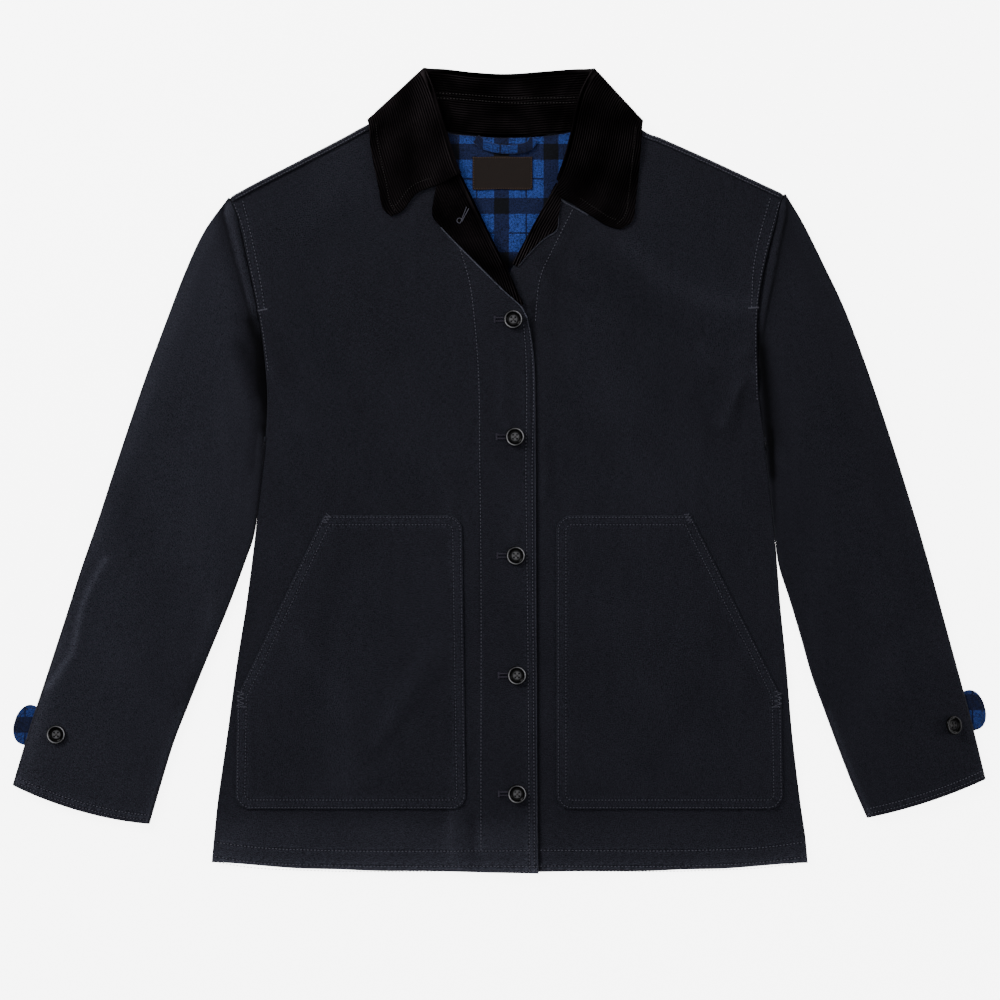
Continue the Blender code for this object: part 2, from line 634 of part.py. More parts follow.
def build_collar():
    lines = []

    def fall_height(side, x, y, v):
        shoulder = SHOULDER_RIGHT if side == "right" else SHOULDER_LEFT
        lap = 1.0 - ease((line_distance(x, y, shoulder) - 14.0) / 14.0)
        lying = front_top(side, x, y) + LAP_STEP * lap + LAID_GAP + CORDUROY / 2
        return lying + (FRONT_ROLL_HEIGHT - lying) * (1.0 - ease(v / 0.45))

    def front_line(side, kind, v):
        """One lengthwise line of the collar on the front, from its front end to the shoulder."""
        table = COLLAR_RIGHT if side == "right" else COLLAR_LEFT
        front_edge = curve_through(COLLAR_FRONT_EDGE_RIGHT if side == "right" else COLLAR_FRONT_EDGE_LEFT)
        points = []
        for k, (seam, roll, edge) in enumerate(table):
            inward = Vector((edge[0] - roll[0], edge[1] - roll[1])).normalized()
            start = (roll[0] + inward.x * ROLL_RADIUS, roll[1] + inward.y * ROLL_RADIUS)
            if kind == "stand":
                x, y = lerp(seam, start, v)
                height = FRONT_SEAM_HEIGHT + (FRONT_STAND_HEIGHT - FRONT_SEAM_HEIGHT) * v
            elif kind == "roll":
                x, y = roll
                height = (FRONT_ROLL_HEIGHT + FRONT_STAND_HEIGHT) / 2
            else:
                x, y = front_edge(v) if k == 0 else lerp(start, edge, v)
                height = fall_height(side, x, y, v)
            points.append((x, y, height))
        return points

    def fold_line(side, kind, v):
        """Where that line turns round the side of the neck."""
        peak = COLLAR_PEAK_RIGHT if side == "right" else COLLAR_PEAK_LEFT
        neck = COLLAR_NECK_RIGHT if side == "right" else COLLAR_NECK_LEFT
        corner = COLLAR_CORNER_RIGHT if side == "right" else COLLAR_CORNER_LEFT
        if kind == "stand":
            return lerp(neck, lerp(peak, neck, 0.12), v)
        if kind == "roll":
            return peak
        return lerp(lerp(peak, corner, 0.05), corner, v)

    def back_end(side, kind, v, height):
        seam, roll, edge = BACK_START_RIGHT if side == "right" else BACK_START_LEFT
        start = (roll[0], roll[1] + ROLL_RADIUS)
        at = {"stand": lerp(seam, start, v), "roll": roll, "fall": lerp(start, edge, v)}[kind]
        return (*at, height)

    def back_line(kind, v):
        points = []
        for k, (top, seam) in enumerate(zip(COLLAR_TOP, STAND_SEAM)):
            t = (k + 1) / (len(COLLAR_TOP) + 1)
            under = curve_through(UNDER_COLLAR_EDGE)(0.1 + 0.8 * t)
            start = (top[0], top[1] + ROLL_RADIUS)
            if kind == "stand":
                x, y = lerp(seam, start, v)
                height = BACK_SEAM_HEIGHT + (BACK_STAND_HEIGHT - BACK_SEAM_HEIGHT) * v
            elif kind == "roll":
                x, y = top
                height = (BACK_STAND_HEIGHT + CORDUROY / 2) / 2
            else:
                x, y = lerp(start, under, v)
                height = CORDUROY / 2
            points.append((x, y, height))
        return points

    kinds = [("stand", v) for v in STAND_COLUMNS] + [("stand", 1.0), ("roll", 0.0), ("fall", 0.0)]
    kinds += [("fall", v) for v in FALL_COLUMNS]
    for kind, v in kinds:
        right = front_line("right", kind, v)
        back = back_line(kind, v)
        left = front_line("left", kind, v)
        start, end = back_end("right", kind, v, back[0][2]), back_end("left", kind, v, back[-1][2])
        turn_right = collar_fold(right[-1], start, fold_line("right", kind, v))
        turn_left = collar_fold(left[-1], end, fold_line("left", kind, v))
        smooth_right = curve_through(right)
        smooth_left = curve_through(left)
        line = [smooth_right(i / 10) for i in range(11)] + turn_right + back + turn_left[::-1]
        line += [smooth_left(i / 10) for i in range(10, -1, -1)]
        lines.append(line)
    return sheet("collar", [lines], CORDUROY, corduroy())


# Facings, lining, label and loop

def build_facing(side):
    """Corduroy strip rolled out over the front edge, free edge lying on the front."""
    rows = []
    table = FACING_RIGHT if side == "right" else FACING_LEFT
    fold = curve_through([row[0] for row in table])
    free = curve_through([row[1] for row in table])
    radius = (CANVAS + FACING) / 2 + GAP
    steps = 2 * (len(table) - 1)
    for i in range(steps + 1):
        f, o = Vector(fold(i / steps)), Vector(free(i / steps))
        width = (o - f).length
        outward = (o - f).normalized()
        centre = f + outward * (FACING / 2 + radius)
        anchor = f + outward * (FACING / 2 + 2 * radius)
        base = (right_front_underside if side == "right" else front_underside)(anchor.x, anchor.y)
        middle = base + CANVAS / 2
        row = []
        tuck = centre + outward * FACING_TUCK * min(1.0, width / 20.0)
        row.append((tuck.x, tuck.y, middle - radius))
        for k in range(5):
            angle = math.radians(-90 + 45 * k)
            at = centre - outward * radius * math.cos(angle)
            row.append((at.x, at.y, middle + radius * math.sin(angle)))
        start = FACING / 2 + radius
        for share in (0.5, 1.0):
            at = f + outward * (start + (width - start) * share)
            row.append((at.x, at.y, front_top(side, at.x, at.y) + LAID_GAP + FACING / 2))
        rows.append(row)
    return sheet("facing_" + side, [rows], FACING, corduroy())


def lining_top(x, y):
    return back_top(x, y) + GAP + FLANNEL


def build_lining():
    low_right, low_left = LINING_SIDE_RIGHT[-1], LINING_SIDE_LEFT[-1]
    patch = coons(lambda u: lerp(low_right, low_left, u), curve_through(LINING_TOP),
                  curve_through(LINING_SIDE_RIGHT[::-1]), curve_through(LINING_SIDE_LEFT[::-1]))
    rows = []
    for i in range(13):
        row = []
        for j in range(11):
            x, y = patch(j / 10, 1 - i / 12)
            row.append((x, y, lining_top(x, y) - FLANNEL / 2))
        rows.append(row)
    return sheet("back_neck_lining", [rows], FLANNEL, flannel())


def build_label():
    (x0, y0), (x1, y1) = LABEL_CORNERS
    rows = []
    for i in range(4):
        row = []
        for j in range(6):
            x, y = x0 + (x1 - x0) * j / 5, y0 + (y1 - y0) * i / 3
            row.append((x, y, lining_top(x, y) + GAP + LABEL_CLOTH / 2 + 0.1))
        rows.append(row)
    return sheet("neck_label", [rows], LABEL_CLOTH, label_weave())


def build_loop():
    path = curve_through(LOOP_PATH)
    rows = [[], [], []]
    for i in range(13):
        t = i / 12
        for row, aside in zip(rows, (-0.5, 0.0, 0.5)):
            x, y = inset_curve(path, LOOP_WIDTH * aside)(t)
            row.append((x, y, lining_top(x, y) + GAP + FLANNEL / 2 + 0.2 + 1.2 * math.sin(math.pi * t)))
    return sheet("locker_loop", [rows], FLANNEL, flannel())


# Pockets

def pocket_side(shape, y):
    """Inner and outer x of a pocket at one level, with its corners rounded."""
    inward = 1 if shape["mouth_top"] > shape["inner_top"] else -1
    share = (y - POCKET_TOP) / (POCKET_BOTTOM - POCKET_TOP)
    inner = shape["inner_top"] + (shape["inner_bottom"] - shape["inner_top"]) * share
    low_x, low_y = shape["mouth_low"]
    if y < low_y:
        outer = shape["mouth_top"] + (low_x - shape["mouth_top"]) * (y - POCKET_TOP) / (low_y - POCKET_TOP)
    else:
        outer = low_x + (shape["outer_bottom"] - low_x) * (y - low_y) / (POCKET_BOTTOM - low_y)

    def round_off(distance):
        miss = max(POCKET_CORNER - distance, 0.0)
        return POCKET_CORNER - math.sqrt(max(POCKET_CORNER ** 2 - miss ** 2, 0.0))

    top_cut, bottom_cut = round_off(y - POCKET_TOP), round_off(POCKET_BOTTOM - y)
    return inner + inward * (top_cut + bottom_cut), outer - inward * bottom_cut


def build_pocket(side):
    shape = POCKETS[side]
    corner = [POCKET_CORNER * (1 - math.cos(math.radians(a))) for a in (0, 30, 60, 90)]
    steps = [POCKET_TOP + d for d in corner]
    middle = POCKET_BOTTOM - POCKET_TOP - 2 * POCKET_CORNER
    steps += [POCKET_TOP + POCKET_CORNER + middle * i / 10 for i in range(1, 10)]
    steps += [POCKET_BOTTOM - d for d in reversed(corner)]
    rows = []
    for y in steps:
        inner, outer = pocket_side(shape, y)
        x0, x1 = min(inner, outer), max(inner, outer)
        row = []
        for j in range(10):
            x = x0 + (x1 - x0) * j / 9
            row.append((x, y, front_top(side, x, y) + LAID_GAP + POCKET_CLOTH / 2))
        rows.append(row)
    return sheet("pocket_" + side, [rows], POCKET_CLOTH, canvas())


# Buttons and cuff tabs

def button_mesh():
    """A dished button with a rounded rim and four holes."""
    radius, thick = BUTTON_DIAMETER / 2, BUTTON_THICKNESS
    profile = [(0.0, 0.0), (radius - BUTTON_BEVEL, 0.0), (radius, 1.5), (radius - 0.8, thick),
               (radius - 2.2, thick - 0.2), (radius - 3.2, thick - 1.2), (0.0, thick - 1.2)]
    bm = bmesh.new()
    verts = [bm.verts.new((x * MM, 0.0, z * MM)) for x, z in reversed(profile)]
    for a, b in zip(verts, verts[1:]):
        bm.edges.new((a, b))
    mesh = bpy.data.meshes.new("button")
    bm.to_mesh(mesh)
    bm.free()
    turned = bpy.data.objects.new("button_turned", mesh)
    bpy.data.collections[COLLECTION].objects.link(turned)
    spin = turned.modifiers.new("turn", "SCREW")
    spin.steps = spin.render_steps = BUTTON_SIDES
    spin.use_merge_vertices = True
    spin.merge_threshold = 0.00001
    for sx, sy in ((-1, -1), (1, -1), (1, 1), (-1, 1)):
        bm = bmesh.new()
        bmesh.ops.create_cone(bm, cap_ends=True, segments=6, radius1=BUTTON_HOLE / 2 * MM,
                              radius2=BUTTON_HOLE / 2 * MM, depth=4 * thick * MM)
        bmesh.ops.translate(bm, verts=bm.verts,
                            vec=(sx * BUTTON_HOLE_SPACING / 2 * MM, sy * BUTTON_HOLE_SPACING / 2 * MM, 0))
        hole = bpy.data.meshes.new("thread_hole")
        bm.to_mesh(hole)
        bm.free()
        cutter = bpy.data.objects.new("thread_hole", hole)
        cutter.hide_render = True
        cutter.display_type = "WIRE"
        bpy.data.collections["cutters"].objects.link(cutter)
        cut = turned.modifiers.new("hole", "BOOLEAN")
        cut.operation = "DIFFERENCE"
        cut.solver = "EXACT"
        cut.object = cutter
    bpy.context.view_layer.update()
    drilled = bpy.data.meshes.new_from_object(turned.evaluated_get(bpy.context.evaluated_depsgraph_get()))
    bpy.data.objects.remove(turned)
    return drilled


def seat_height(x, y, slope, top):
    """Lowest middle of a button's underside that clears the cloth all round, sloping down along slope."""
    radius = BUTTON_DIAMETER / 2 - BUTTON_BEVEL
    heights = [top(x, y)]
    for turn in range(0, 360, 45):
        dx, dy = radius * math.cos(math.radians(turn)), radius * math.sin(math.radians(turn))
        heights.append(top(x + dx, y + dy) + dx * slope[0] + dy * slope[1])
    return max(heights) + GAP


def build_buttons():
    mesh = button_mesh()
    for number, (x, y) in enumerate(FRONT_BUTTONS, start=1):
        obj = place(f"button_front_{number}", mesh, button_plastic())
        obj.location = to_world(x, y, seat_height(x, y, (0, 0), lambda px, py: front_top("right", px, py)))
    for side, (x, y, tilt) in CUFF_BUTTONS.items():
        obj = place("button_cuff_" + side, mesh, button_plastic())
        turn = math.radians(tilt)
        along_sleeve = Vector(CUFF_BUTTON_AXIS)
        slope = (-along_sleeve.y * math.tan(turn), -along_sleeve.x * math.tan(turn))
        height = seat_height(x, y, slope, lambda px, py: sleeve_middle(side, px, py) + CANVAS / 2)
        obj.location = to_world(x, y, height)
        obj.rotation_euler = Matrix.Rotation(-turn, 3, along_sleeve).to_euler()


def build_tab(side):
    """A rounded tab sewn into the sleeve's outer edge, its free end resting on the table."""
    (x, y), outward = TABS[side]
    along = Vector(outward).normalized()
    across = Vector((-along.y, along.x))
    root = Vector((x, y))
    thick = CANVAS + 0.2
    rows = []
    for share in (0.0, 0.3, 0.6, 0.8, 0.92, 1.0):
        reach = TAB_LENGTH * share
        round_part = max(share - 0.25, 0.0) / 0.75
        half = TAB_WIDTH / 2 * math.sqrt(max(1 - (round_part * 0.98) ** 2.2, 0.0))
        row = []
        for k in range(9):
            at = root + along * reach + across * half * (k / 4 - 1)
            row.append((at.x, at.y, thick / 2 + 0.9 * (1 - ease(share / 0.6))))
        rows.append(row)
    return sheet("cuff_tab_" + side, [rows], thick, flannel())


def clear_scene():
    for obj in list(bpy.data.objects):
        bpy.data.objects.remove(obj)
    for name in (COLLECTION, "cutters"):
        bpy.context.scene.collection.children.link(bpy.data.collections.new(name))


def main():
    clear_scene()
    build_back()
    build_lining()
    build_label()
    build_loop()
    for side in ("left", "right"):
        build_front(side)
        build_sleeve(side)
        build_facing(side)
        build_pocket(side)
        build_tab(side)
    build_collar()
    build_buttons()


main()
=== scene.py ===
"""Barn coat laid flat on its back, dressed for the picture.

Outlines are in board millimetres, as in the part's source: x to the right and y down from the top left
corner of the one-metre square that the coat is laid out in, and heights in millimetres above the table.
Left and right are the wearer's, so the right front lies on the side of small x.
"""
import math

import bmesh
import bpy
import numpy as np
from mathutils import Matrix, Vector

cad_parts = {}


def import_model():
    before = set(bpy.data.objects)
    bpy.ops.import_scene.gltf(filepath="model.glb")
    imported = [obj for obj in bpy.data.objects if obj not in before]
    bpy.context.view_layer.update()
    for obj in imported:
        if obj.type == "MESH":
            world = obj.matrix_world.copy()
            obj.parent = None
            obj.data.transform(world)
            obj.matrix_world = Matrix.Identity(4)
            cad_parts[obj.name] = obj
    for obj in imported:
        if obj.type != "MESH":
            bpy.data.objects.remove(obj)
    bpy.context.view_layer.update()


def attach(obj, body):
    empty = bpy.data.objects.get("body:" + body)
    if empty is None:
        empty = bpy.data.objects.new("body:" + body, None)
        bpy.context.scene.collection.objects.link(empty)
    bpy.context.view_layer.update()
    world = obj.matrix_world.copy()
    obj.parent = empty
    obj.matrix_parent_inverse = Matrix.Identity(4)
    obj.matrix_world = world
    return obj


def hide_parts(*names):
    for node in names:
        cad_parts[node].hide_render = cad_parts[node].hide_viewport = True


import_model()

MM = 0.001
CENTRE_X, CENTRE_Y = 499.56, 470.68

CANVAS, CORDUROY, FACING, FLANNEL, POCKET_CLOTH, LABEL_CLOTH = 2.0, 2.4, 1.6, 1.2, 1.6, 1.0
GAP, LAID_GAP = 0.3, 0.45
BODY_PUFF, PUFF_REACH, SEAM_FLAT = 3.4, 60.0, 5.0
SLEEVE_FOLD, SLEEVE_PUFF, SLEEVE_REACH = 2.0, 1.9, 45.0
WALE = 2.45

UNDER_COLLAR = [(366, 131), (395, 140), (430, 147), (510, 151), (590, 148), (622, 141), (645, 133)]
UNDER_COLLAR_FADE = 90.0
LAP_START_X, LAP_RAMP = 440.0, 50.0
LAP_STEP, CROSSING_STEP = CANVAS + GAP, FACING + GAP

# Body outlines from the hem up: side and front edge of the right front, then of the left front
BODY_LEVELS = np.array([
    [(211.5, 862.5), (538.6, 873.5), (488, 873), (808, 863)],
    [(214, 836), (538, 845), (488, 845), (805.5, 836)],
    [(218, 798), (537.5, 806), (488, 806), (800, 798)],
    [(227, 735), (537, 740), (488, 740), (792.5, 735)],
    [(236.5, 665), (537, 670), (488, 670), (786.5, 665)],
    [(246, 605), (536.5, 600), (488, 600), (780.5, 605)],
    [(253.5, 548), (536, 530), (488, 530), (776, 548)],
    [(260, 490), (536, 465), (488, 465), (770, 490)],
    [(265.5, 440), (535.5, 410), (488, 415), (764.5, 440)],
    [(267.5, 395), (534.5, 365), (488, 367), (758.5, 395)],
    [(264, 350), (527, 318), (490, 325), (757, 350)],
    [(257.5, 308), (509, 281), (500.5, 289), (757.5, 308)],
    [(248, 261), (484.2, 231), (525.3, 247), (765, 262)],
    [(239, 220), (457, 183), (560.5, 189), (776, 221)],
    [(234, 207), (430, 146), (586, 148), (779, 207)],
    [(230.5, 200), (421.5, 105), (599.5, 105), (783, 197)],
])
UNDERARM = 8
FRONT_HEM_SAG, BACK_HEM_SAG, HEM_CORNER = 4.6, 9.0, 0.3
SIDE = {"right": BODY_LEVELS[:, 0], "left": BODY_LEVELS[:, 3]}
FRONT_EDGE = {"right": BODY_LEVELS[:, 1], "left": BODY_LEVELS[:, 2]}
SHOULDER = {
    "right": [(229.5, 197), (259, 181), (299, 160.5), (342, 138.5), (369, 124), (421, 99)],
    "left": [(784, 194), (756, 181), (712, 160.5), (663, 139), (643, 130.5), (600, 99)],
}
SHOULDER_LAP, SHOULDER_INSET = 2.4, 4.3
BACK_NECK = [(447, 132.5), (482, 136.5), (510, 137.5), (543, 136), (574, 131)]

# Sleeves from armhole to cuff: outer edge, inner edge
SLEEVE = {
    "right": np.array([
        [(229.2, 197.5), (265.0, 440)], [(205, 231), (262.6, 462)], [(186, 271), (259.8, 487)],
        [(167, 320), (257.0, 512)], [(148, 371), (253.2, 538)], [(131, 420), (245, 562)],
        [(114, 471), (231, 600)], [(98, 520), (216, 637)], [(81, 569), (202, 671)],
        [(65, 619), (188, 706)], [(48, 671), (174, 742)], [(30, 726), (162, 781)],
        [(12.2, 785), (149.5, 824)],
    ]),
    "left": np.array([
        [(784.8, 193.6), (765.6, 440)], [(803, 224), (767.5, 463)], [(823, 264), (770.3, 487)],
        [(843, 306), (773.0, 513)], [(861, 352), (776.0, 540)], [(877.5, 399), (779.5, 567)],
        [(894, 449), (790, 600)], [(910, 500), (801, 637)], [(925, 550), (812, 676)],
        [(940, 604), (825, 712)], [(955, 659), (839, 750)], [(971, 718), (853, 786)],
        [(986, 779), (867, 818)],
    ]),
}
CUFF_SAG = {"right": 6.5, "left": 3.5}

# Soft folds: line, rise (a trough is negative), half width
SLEEVE_FOLDS = {
    "right": [
        ([(244, 322), (254, 350), (261, 385), (262, 420), (260, 470)], -2.4, 10.0),
        ([(106, 560), (91, 588), (79, 625), (74, 655), (62, 676), (48, 690)], 1.2, 5.0),
        ([(96, 566), (84, 592), (73, 626), (66, 655), (52, 678)], -0.7, 9.0),
        ([(211, 640), (204, 664), (190, 694), (182, 706)], -1.2, 6.0),
        ([(215, 600), (207, 640), (196, 668)], 0.7, 7.0),
        ([(60, 640), (50, 690), (40, 740), (34, 784)], 0.6, 12.0),
        ([(120, 500), (150, 560), (160, 640), (140, 760)], -0.7, 26.0),
    ],
    "left": [
        ([(765, 330), (769, 370), (772, 410), (773, 452)], -2.4, 8.0),
        ([(868, 500), (882, 560), (880, 620), (893, 700)], 0.8, 14.0),
        ([(905, 560), (900, 640), (915, 720)], -0.6, 16.0),
        ([(800, 300), (812, 380), (806, 460)], 0.6, 18.0),
    ],
}
# The sleeve head: a strip beside the armhole, then a step down along this line
SLEEVE_STEP = {
    "right": [(226, 196), (224, 213), (231, 240), (240, 274), (248, 303), (255, 330), (261, 362), (262, 400)],
    "left": [(786, 196), (785, 214), (779, 244), (773, 275), (766.5, 306), (762, 335), (760, 365), (764, 400)],
}
STEP_DROP = {"right": 1.3, "left": 1.0}

POCKET_TOP, POCKET_BOTTOM, POCKET_CORNER = 515.5, 808.5, 15.0
POCKETS = {
    "right": {"inner_top": 462.0, "inner_bottom": 466.0, "mouth_top": 324.0,
              "mouth_low": (237.5, 697.0), "outer_bottom": 236.0},
    "left": {"inner_top": 556.5, "inner_bottom": 556.5, "mouth_top": 690.5,
             "mouth_low": (781.0, 697.0), "outer_bottom": 782.5},
}

# Turned-back facings: fold line, free edge
FACINGS = {
    "right": np.array([
        [(460.5, 173.5), (437.5, 182.5)], [(466, 185), (434.0, 199)], [(473, 199), (433, 217)],
        [(480, 214), (446, 232.5)], [(490, 235), (463, 249.5)], [(499.5, 254), (480.5, 267)],
        [(508.5, 272), (496, 282.5)], [(514.5, 285.5), (506, 292.5)], [(519.5, 296.5), (514.0, 300.0)],
        [(523.5, 304.5), (521.0, 306.0)],
    ]),
    "left": np.array([
        [(556, 183), (562.5, 190)], [(550, 195), (560.3, 206)], [(543.5, 207), (558.2, 219)],
        [(537, 218.5), (556.5, 229.5)], [(530, 231), (545.5, 237.5)], [(523.5, 243.5), (535.5, 246.5)],
        [(517.5, 254.5), (526, 256.5)], [(512, 264.5), (517.5, 267)],
    ]),
}
FACING_TUCK = 4.5

# Collar from each front end to the shoulder: neck seam, roll line, free edge of the fall
COLLAR = {
    "right": [
        ((455.5, 176.0), (460.5, 174.5), (391, 217)), ((451, 168), (455.5, 163), (382.5, 208)),
        ((445, 158), (451, 149.5), (379, 189)), ((437, 144), (445, 129), (373.5, 163)),
        ((431, 129), (439, 109.5), (370.5, 144)), ((427, 115), (432, 87), (370, 131)),
    ],
    "left": [
        ((561.5, 181.0), (557.0, 181.0), (620, 230)), ((565, 174), (561.0, 170.0), (632.5, 221)),
        ((571, 163), (566.5, 153), (635.5, 200)), ((579, 148), (571.5, 133), (638.5, 172)),
        ((586, 132), (576, 111), (640.5, 148)), ((591, 117), (583, 86), (641.3, 134)),
    ],
}
COLLAR_FRONT_EDGE = {
    "right": [(458.5, 175.5), (444, 184), (430, 188.5), (416, 195), (403, 211), (391, 217)],
    "left": [(557.6, 183), (559, 196.5), (574, 205.5), (590, 216), (606, 226), (620, 230)],
}
COLLAR_PEAK = {"right": (423.5, 69.0), "left": (594.5, 69.6)}
COLLAR_CORNER = {"right": (367.6, 120.6), "left": (642.8, 121.6)}
COLLAR_NECK = {"right": (425.5, 103.5), "left": (595.0, 103.5)}
BACK_START = {"right": ((432, 115), (433, 69.6), (371, 131)), "left": ((588, 115), (585, 70.0), (640, 132))}
COLLAR_TOP = [(446, 70), (476, 73.5), (510, 74.8), (545, 72.2), (572, 70.2)]
STAND_SEAM = [(447, 131.2), (476, 135), (510, 136.4), (545, 134.6), (574, 129.6)]
ROLL_RADIUS, FOLD_SQUARENESS = 2.2, 0.7
FRONT_ROLL_HEIGHT, FRONT_STAND_HEIGHT, FRONT_SEAM_HEIGHT = 13.6, 9.2, 8.8
BACK_STAND_HEIGHT, BACK_SEAM_HEIGHT = 6.5, 6.3

LINING_TOP = [(436, 123.5), (447, 133.2), (482, 137.2), (510, 138.2), (543, 136.7), (574, 131.7), (584, 123)]
LINING_SIDE = {
    "right": [(436, 123.5), (441, 160), (444, 200), (448, 262), (460, 325)],
    "left": [(584, 123), (581, 160), (580, 200), (576, 262), (562, 325)],
}
LOOP_PATH = [(476, 139.0), (484, 145.5), (496, 149.0), (509, 150.2), (522, 148.8), (530, 145.6), (534, 139.5)]
LOOP_WIDTH = 9.0
LABEL = ((472.5, 157.0), (532.5, 190.0))

BUTTON_DIAMETER, BUTTON_THICK, BUTTON_BEVEL, HOLE, HOLE_SPACING = 19.0, 3.4, 1.8, 1.9, 3.9
FRONT_BUTTONS = [(513.2, 320), (515.0, 437), (515.8, 555.5), (517.0, 675), (517.2, 793)]
CUFF_BUTTONS = {"right": (57.0, 734.0, 0.0), "left": (951.5, 724.6, 30.0)}
CUFF_BUTTON_AXIS = (0.26, -0.966, 0.0)
TAB_WIDTH, TAB_LENGTH, TAB_TUCK = 41.0, 16.2, 1.4
TABS = {"right": ((29.7, 725.8), (-0.955, -0.30)), "left": ((969.7, 710.9), (0.962, -0.27))}
SIGN = {"right": 1.0, "left": -1.0}


# Curves and distances on the board; points are the last axis of every array

def smooth(t):
    t = np.clip(t, 0.0, 1.0)
    return t * t * (3.0 - 2.0 * t)


def spline(points, t, knots=None):
    """Points of the smooth curve through the given points, at shares t of the way."""
    p = np.asarray(points, float)
    k = np.linspace(0.0, 1.0, len(p)) if knots is None else np.asarray(knots, float)
    slope = np.gradient(p, k, axis=0)
    t = np.atleast_1d(np.clip(t, k[0], k[-1]))
    i = np.clip(np.searchsorted(k, t, side="right") - 1, 0, len(p) - 2)
    h = (k[i + 1] - k[i])[:, None]
    f = (t - k[i])[:, None] / h
    return ((2 * f ** 3 - 3 * f ** 2 + 1) * p[i] + (f ** 3 - 2 * f ** 2 + f) * h * slope[i]
            + (3 * f ** 2 - 2 * f ** 3) * p[i + 1] + (f ** 3 - f ** 2) * h * slope[i + 1])


def curve(points, count=60):
    return spline(points, np.linspace(0.0, 1.0, count))


def aside(line, distance):
    """A polyline moved to its right, as the board is seen."""
    line = np.asarray(line, float)
    along = np.gradient(line, axis=0)
    along /= np.linalg.norm(along, axis=1, keepdims=True)
    return line + np.stack([-along[:, 1], along[:, 0]], axis=1) * distance


def away(xy, line, signed=False):
    """Distance from each point to a polyline, and how far along it the nearest point is."""
    line = np.asarray(line, float)
    shape = np.shape(xy)[:-1]
    xy = np.reshape(xy, (-1, 2))
    best = np.full(len(xy), 1e9)
    place = np.zeros(len(xy))
    start = 0.0
    for a, b in zip(line, line[1:]):
        d = b - a
        length = math.hypot(*d)
        if length == 0:
            continue
        t = np.clip(((xy - a) @ d) / length ** 2, 0.0, 1.0)
        gap = xy - a - t[:, None] * d
        far = np.hypot(gap[:, 0], gap[:, 1])
        if signed:
            far = np.copysign(far, d[0] * gap[:, 1] - d[1] * gap[:, 0])
        near = np.abs(far) < np.abs(best)
        best = np.where(near, far, best)
        place = np.where(near, start + t * length, place)
        start += length
    return best.reshape(shape), place.reshape(shape)


def coons(bottom, top, left, right, u, v):
    """Grid of points between four edges: rows for v, from bottom to top, and columns for u."""
    u, v = u[None, :, None], v[:, None, None]
    b, t, l, r = bottom[None], top[None], left[:, None], right[:, None]
    return ((1 - v) * b + v * t + (1 - u) * l + u * r
            - (1 - u) * (1 - v) * left[0] - u * (1 - v) * right[0] - (1 - u) * v * left[-1] - u * v * right[-1])


def spread(length, pitch, wall=0.0, fine_start=0.0, fine_end=0.0, fine=1.0):
    """Shares of a length about one pitch apart, closer in the fine zones and at the rounded edges."""
    radius = wall / 2
    places = [radius]
    while places[-1] < length - radius:
        here = places[-1]
        near_end = here < fine_start or here > length - fine_end
        places.append(here + (fine if near_end else pitch))
    places = np.array(places)
    places = radius + (places - radius) * (length - 2 * radius) / (places[-1] - radius)
    if wall:
        edge = np.array([0.0, 0.13, 0.5]) * radius
        places = np.concatenate([edge, places, (length - edge)[::-1]])
    return places / length


def even(points, shares):
    """Curve parameters that lie at these shares of a curve's length."""
    t = np.linspace(0.0, 1.0, 400)
    step = np.linalg.norm(np.diff(spline(points, t), axis=0), axis=1)
    done = np.concatenate([[0.0], np.cumsum(step)])
    return np.interp(shares, done / done[-1], t)


def ripple(xy, seed, size, height, count=7):
    """Soft unevenness of cloth that lies loosely: waves in mixed directions, about one size long."""
    rng = np.random.default_rng(seed)
    total = 0.0
    for _ in range(count):
        angle, phase = rng.uniform(0, math.tau, 2)
        length = size * rng.uniform(0.6, 1.8)
        k = math.tau / length
        total = total + np.cos(k * (xy[..., 0] * math.cos(angle) + xy[..., 1] * math.sin(angle)) + phase)
    return height * total / math.sqrt(count)


def marks(xy, lines, pucker=0.0, pucker_pitch=7.0):
    """Sum of ridges and grooves: each line has a rise and a half width."""
    total = np.zeros(xy.shape[:-1])
    for line, rise, half in lines:
        far, place = away(xy, line)
        wave = 1.0 + pucker * np.sin(place * math.tau / pucker_pitch + np.sin(place * 0.11) * 2.0)
        total += rise * wave * np.exp(-(far / half) ** 2)
    return total


# Heights of the layers

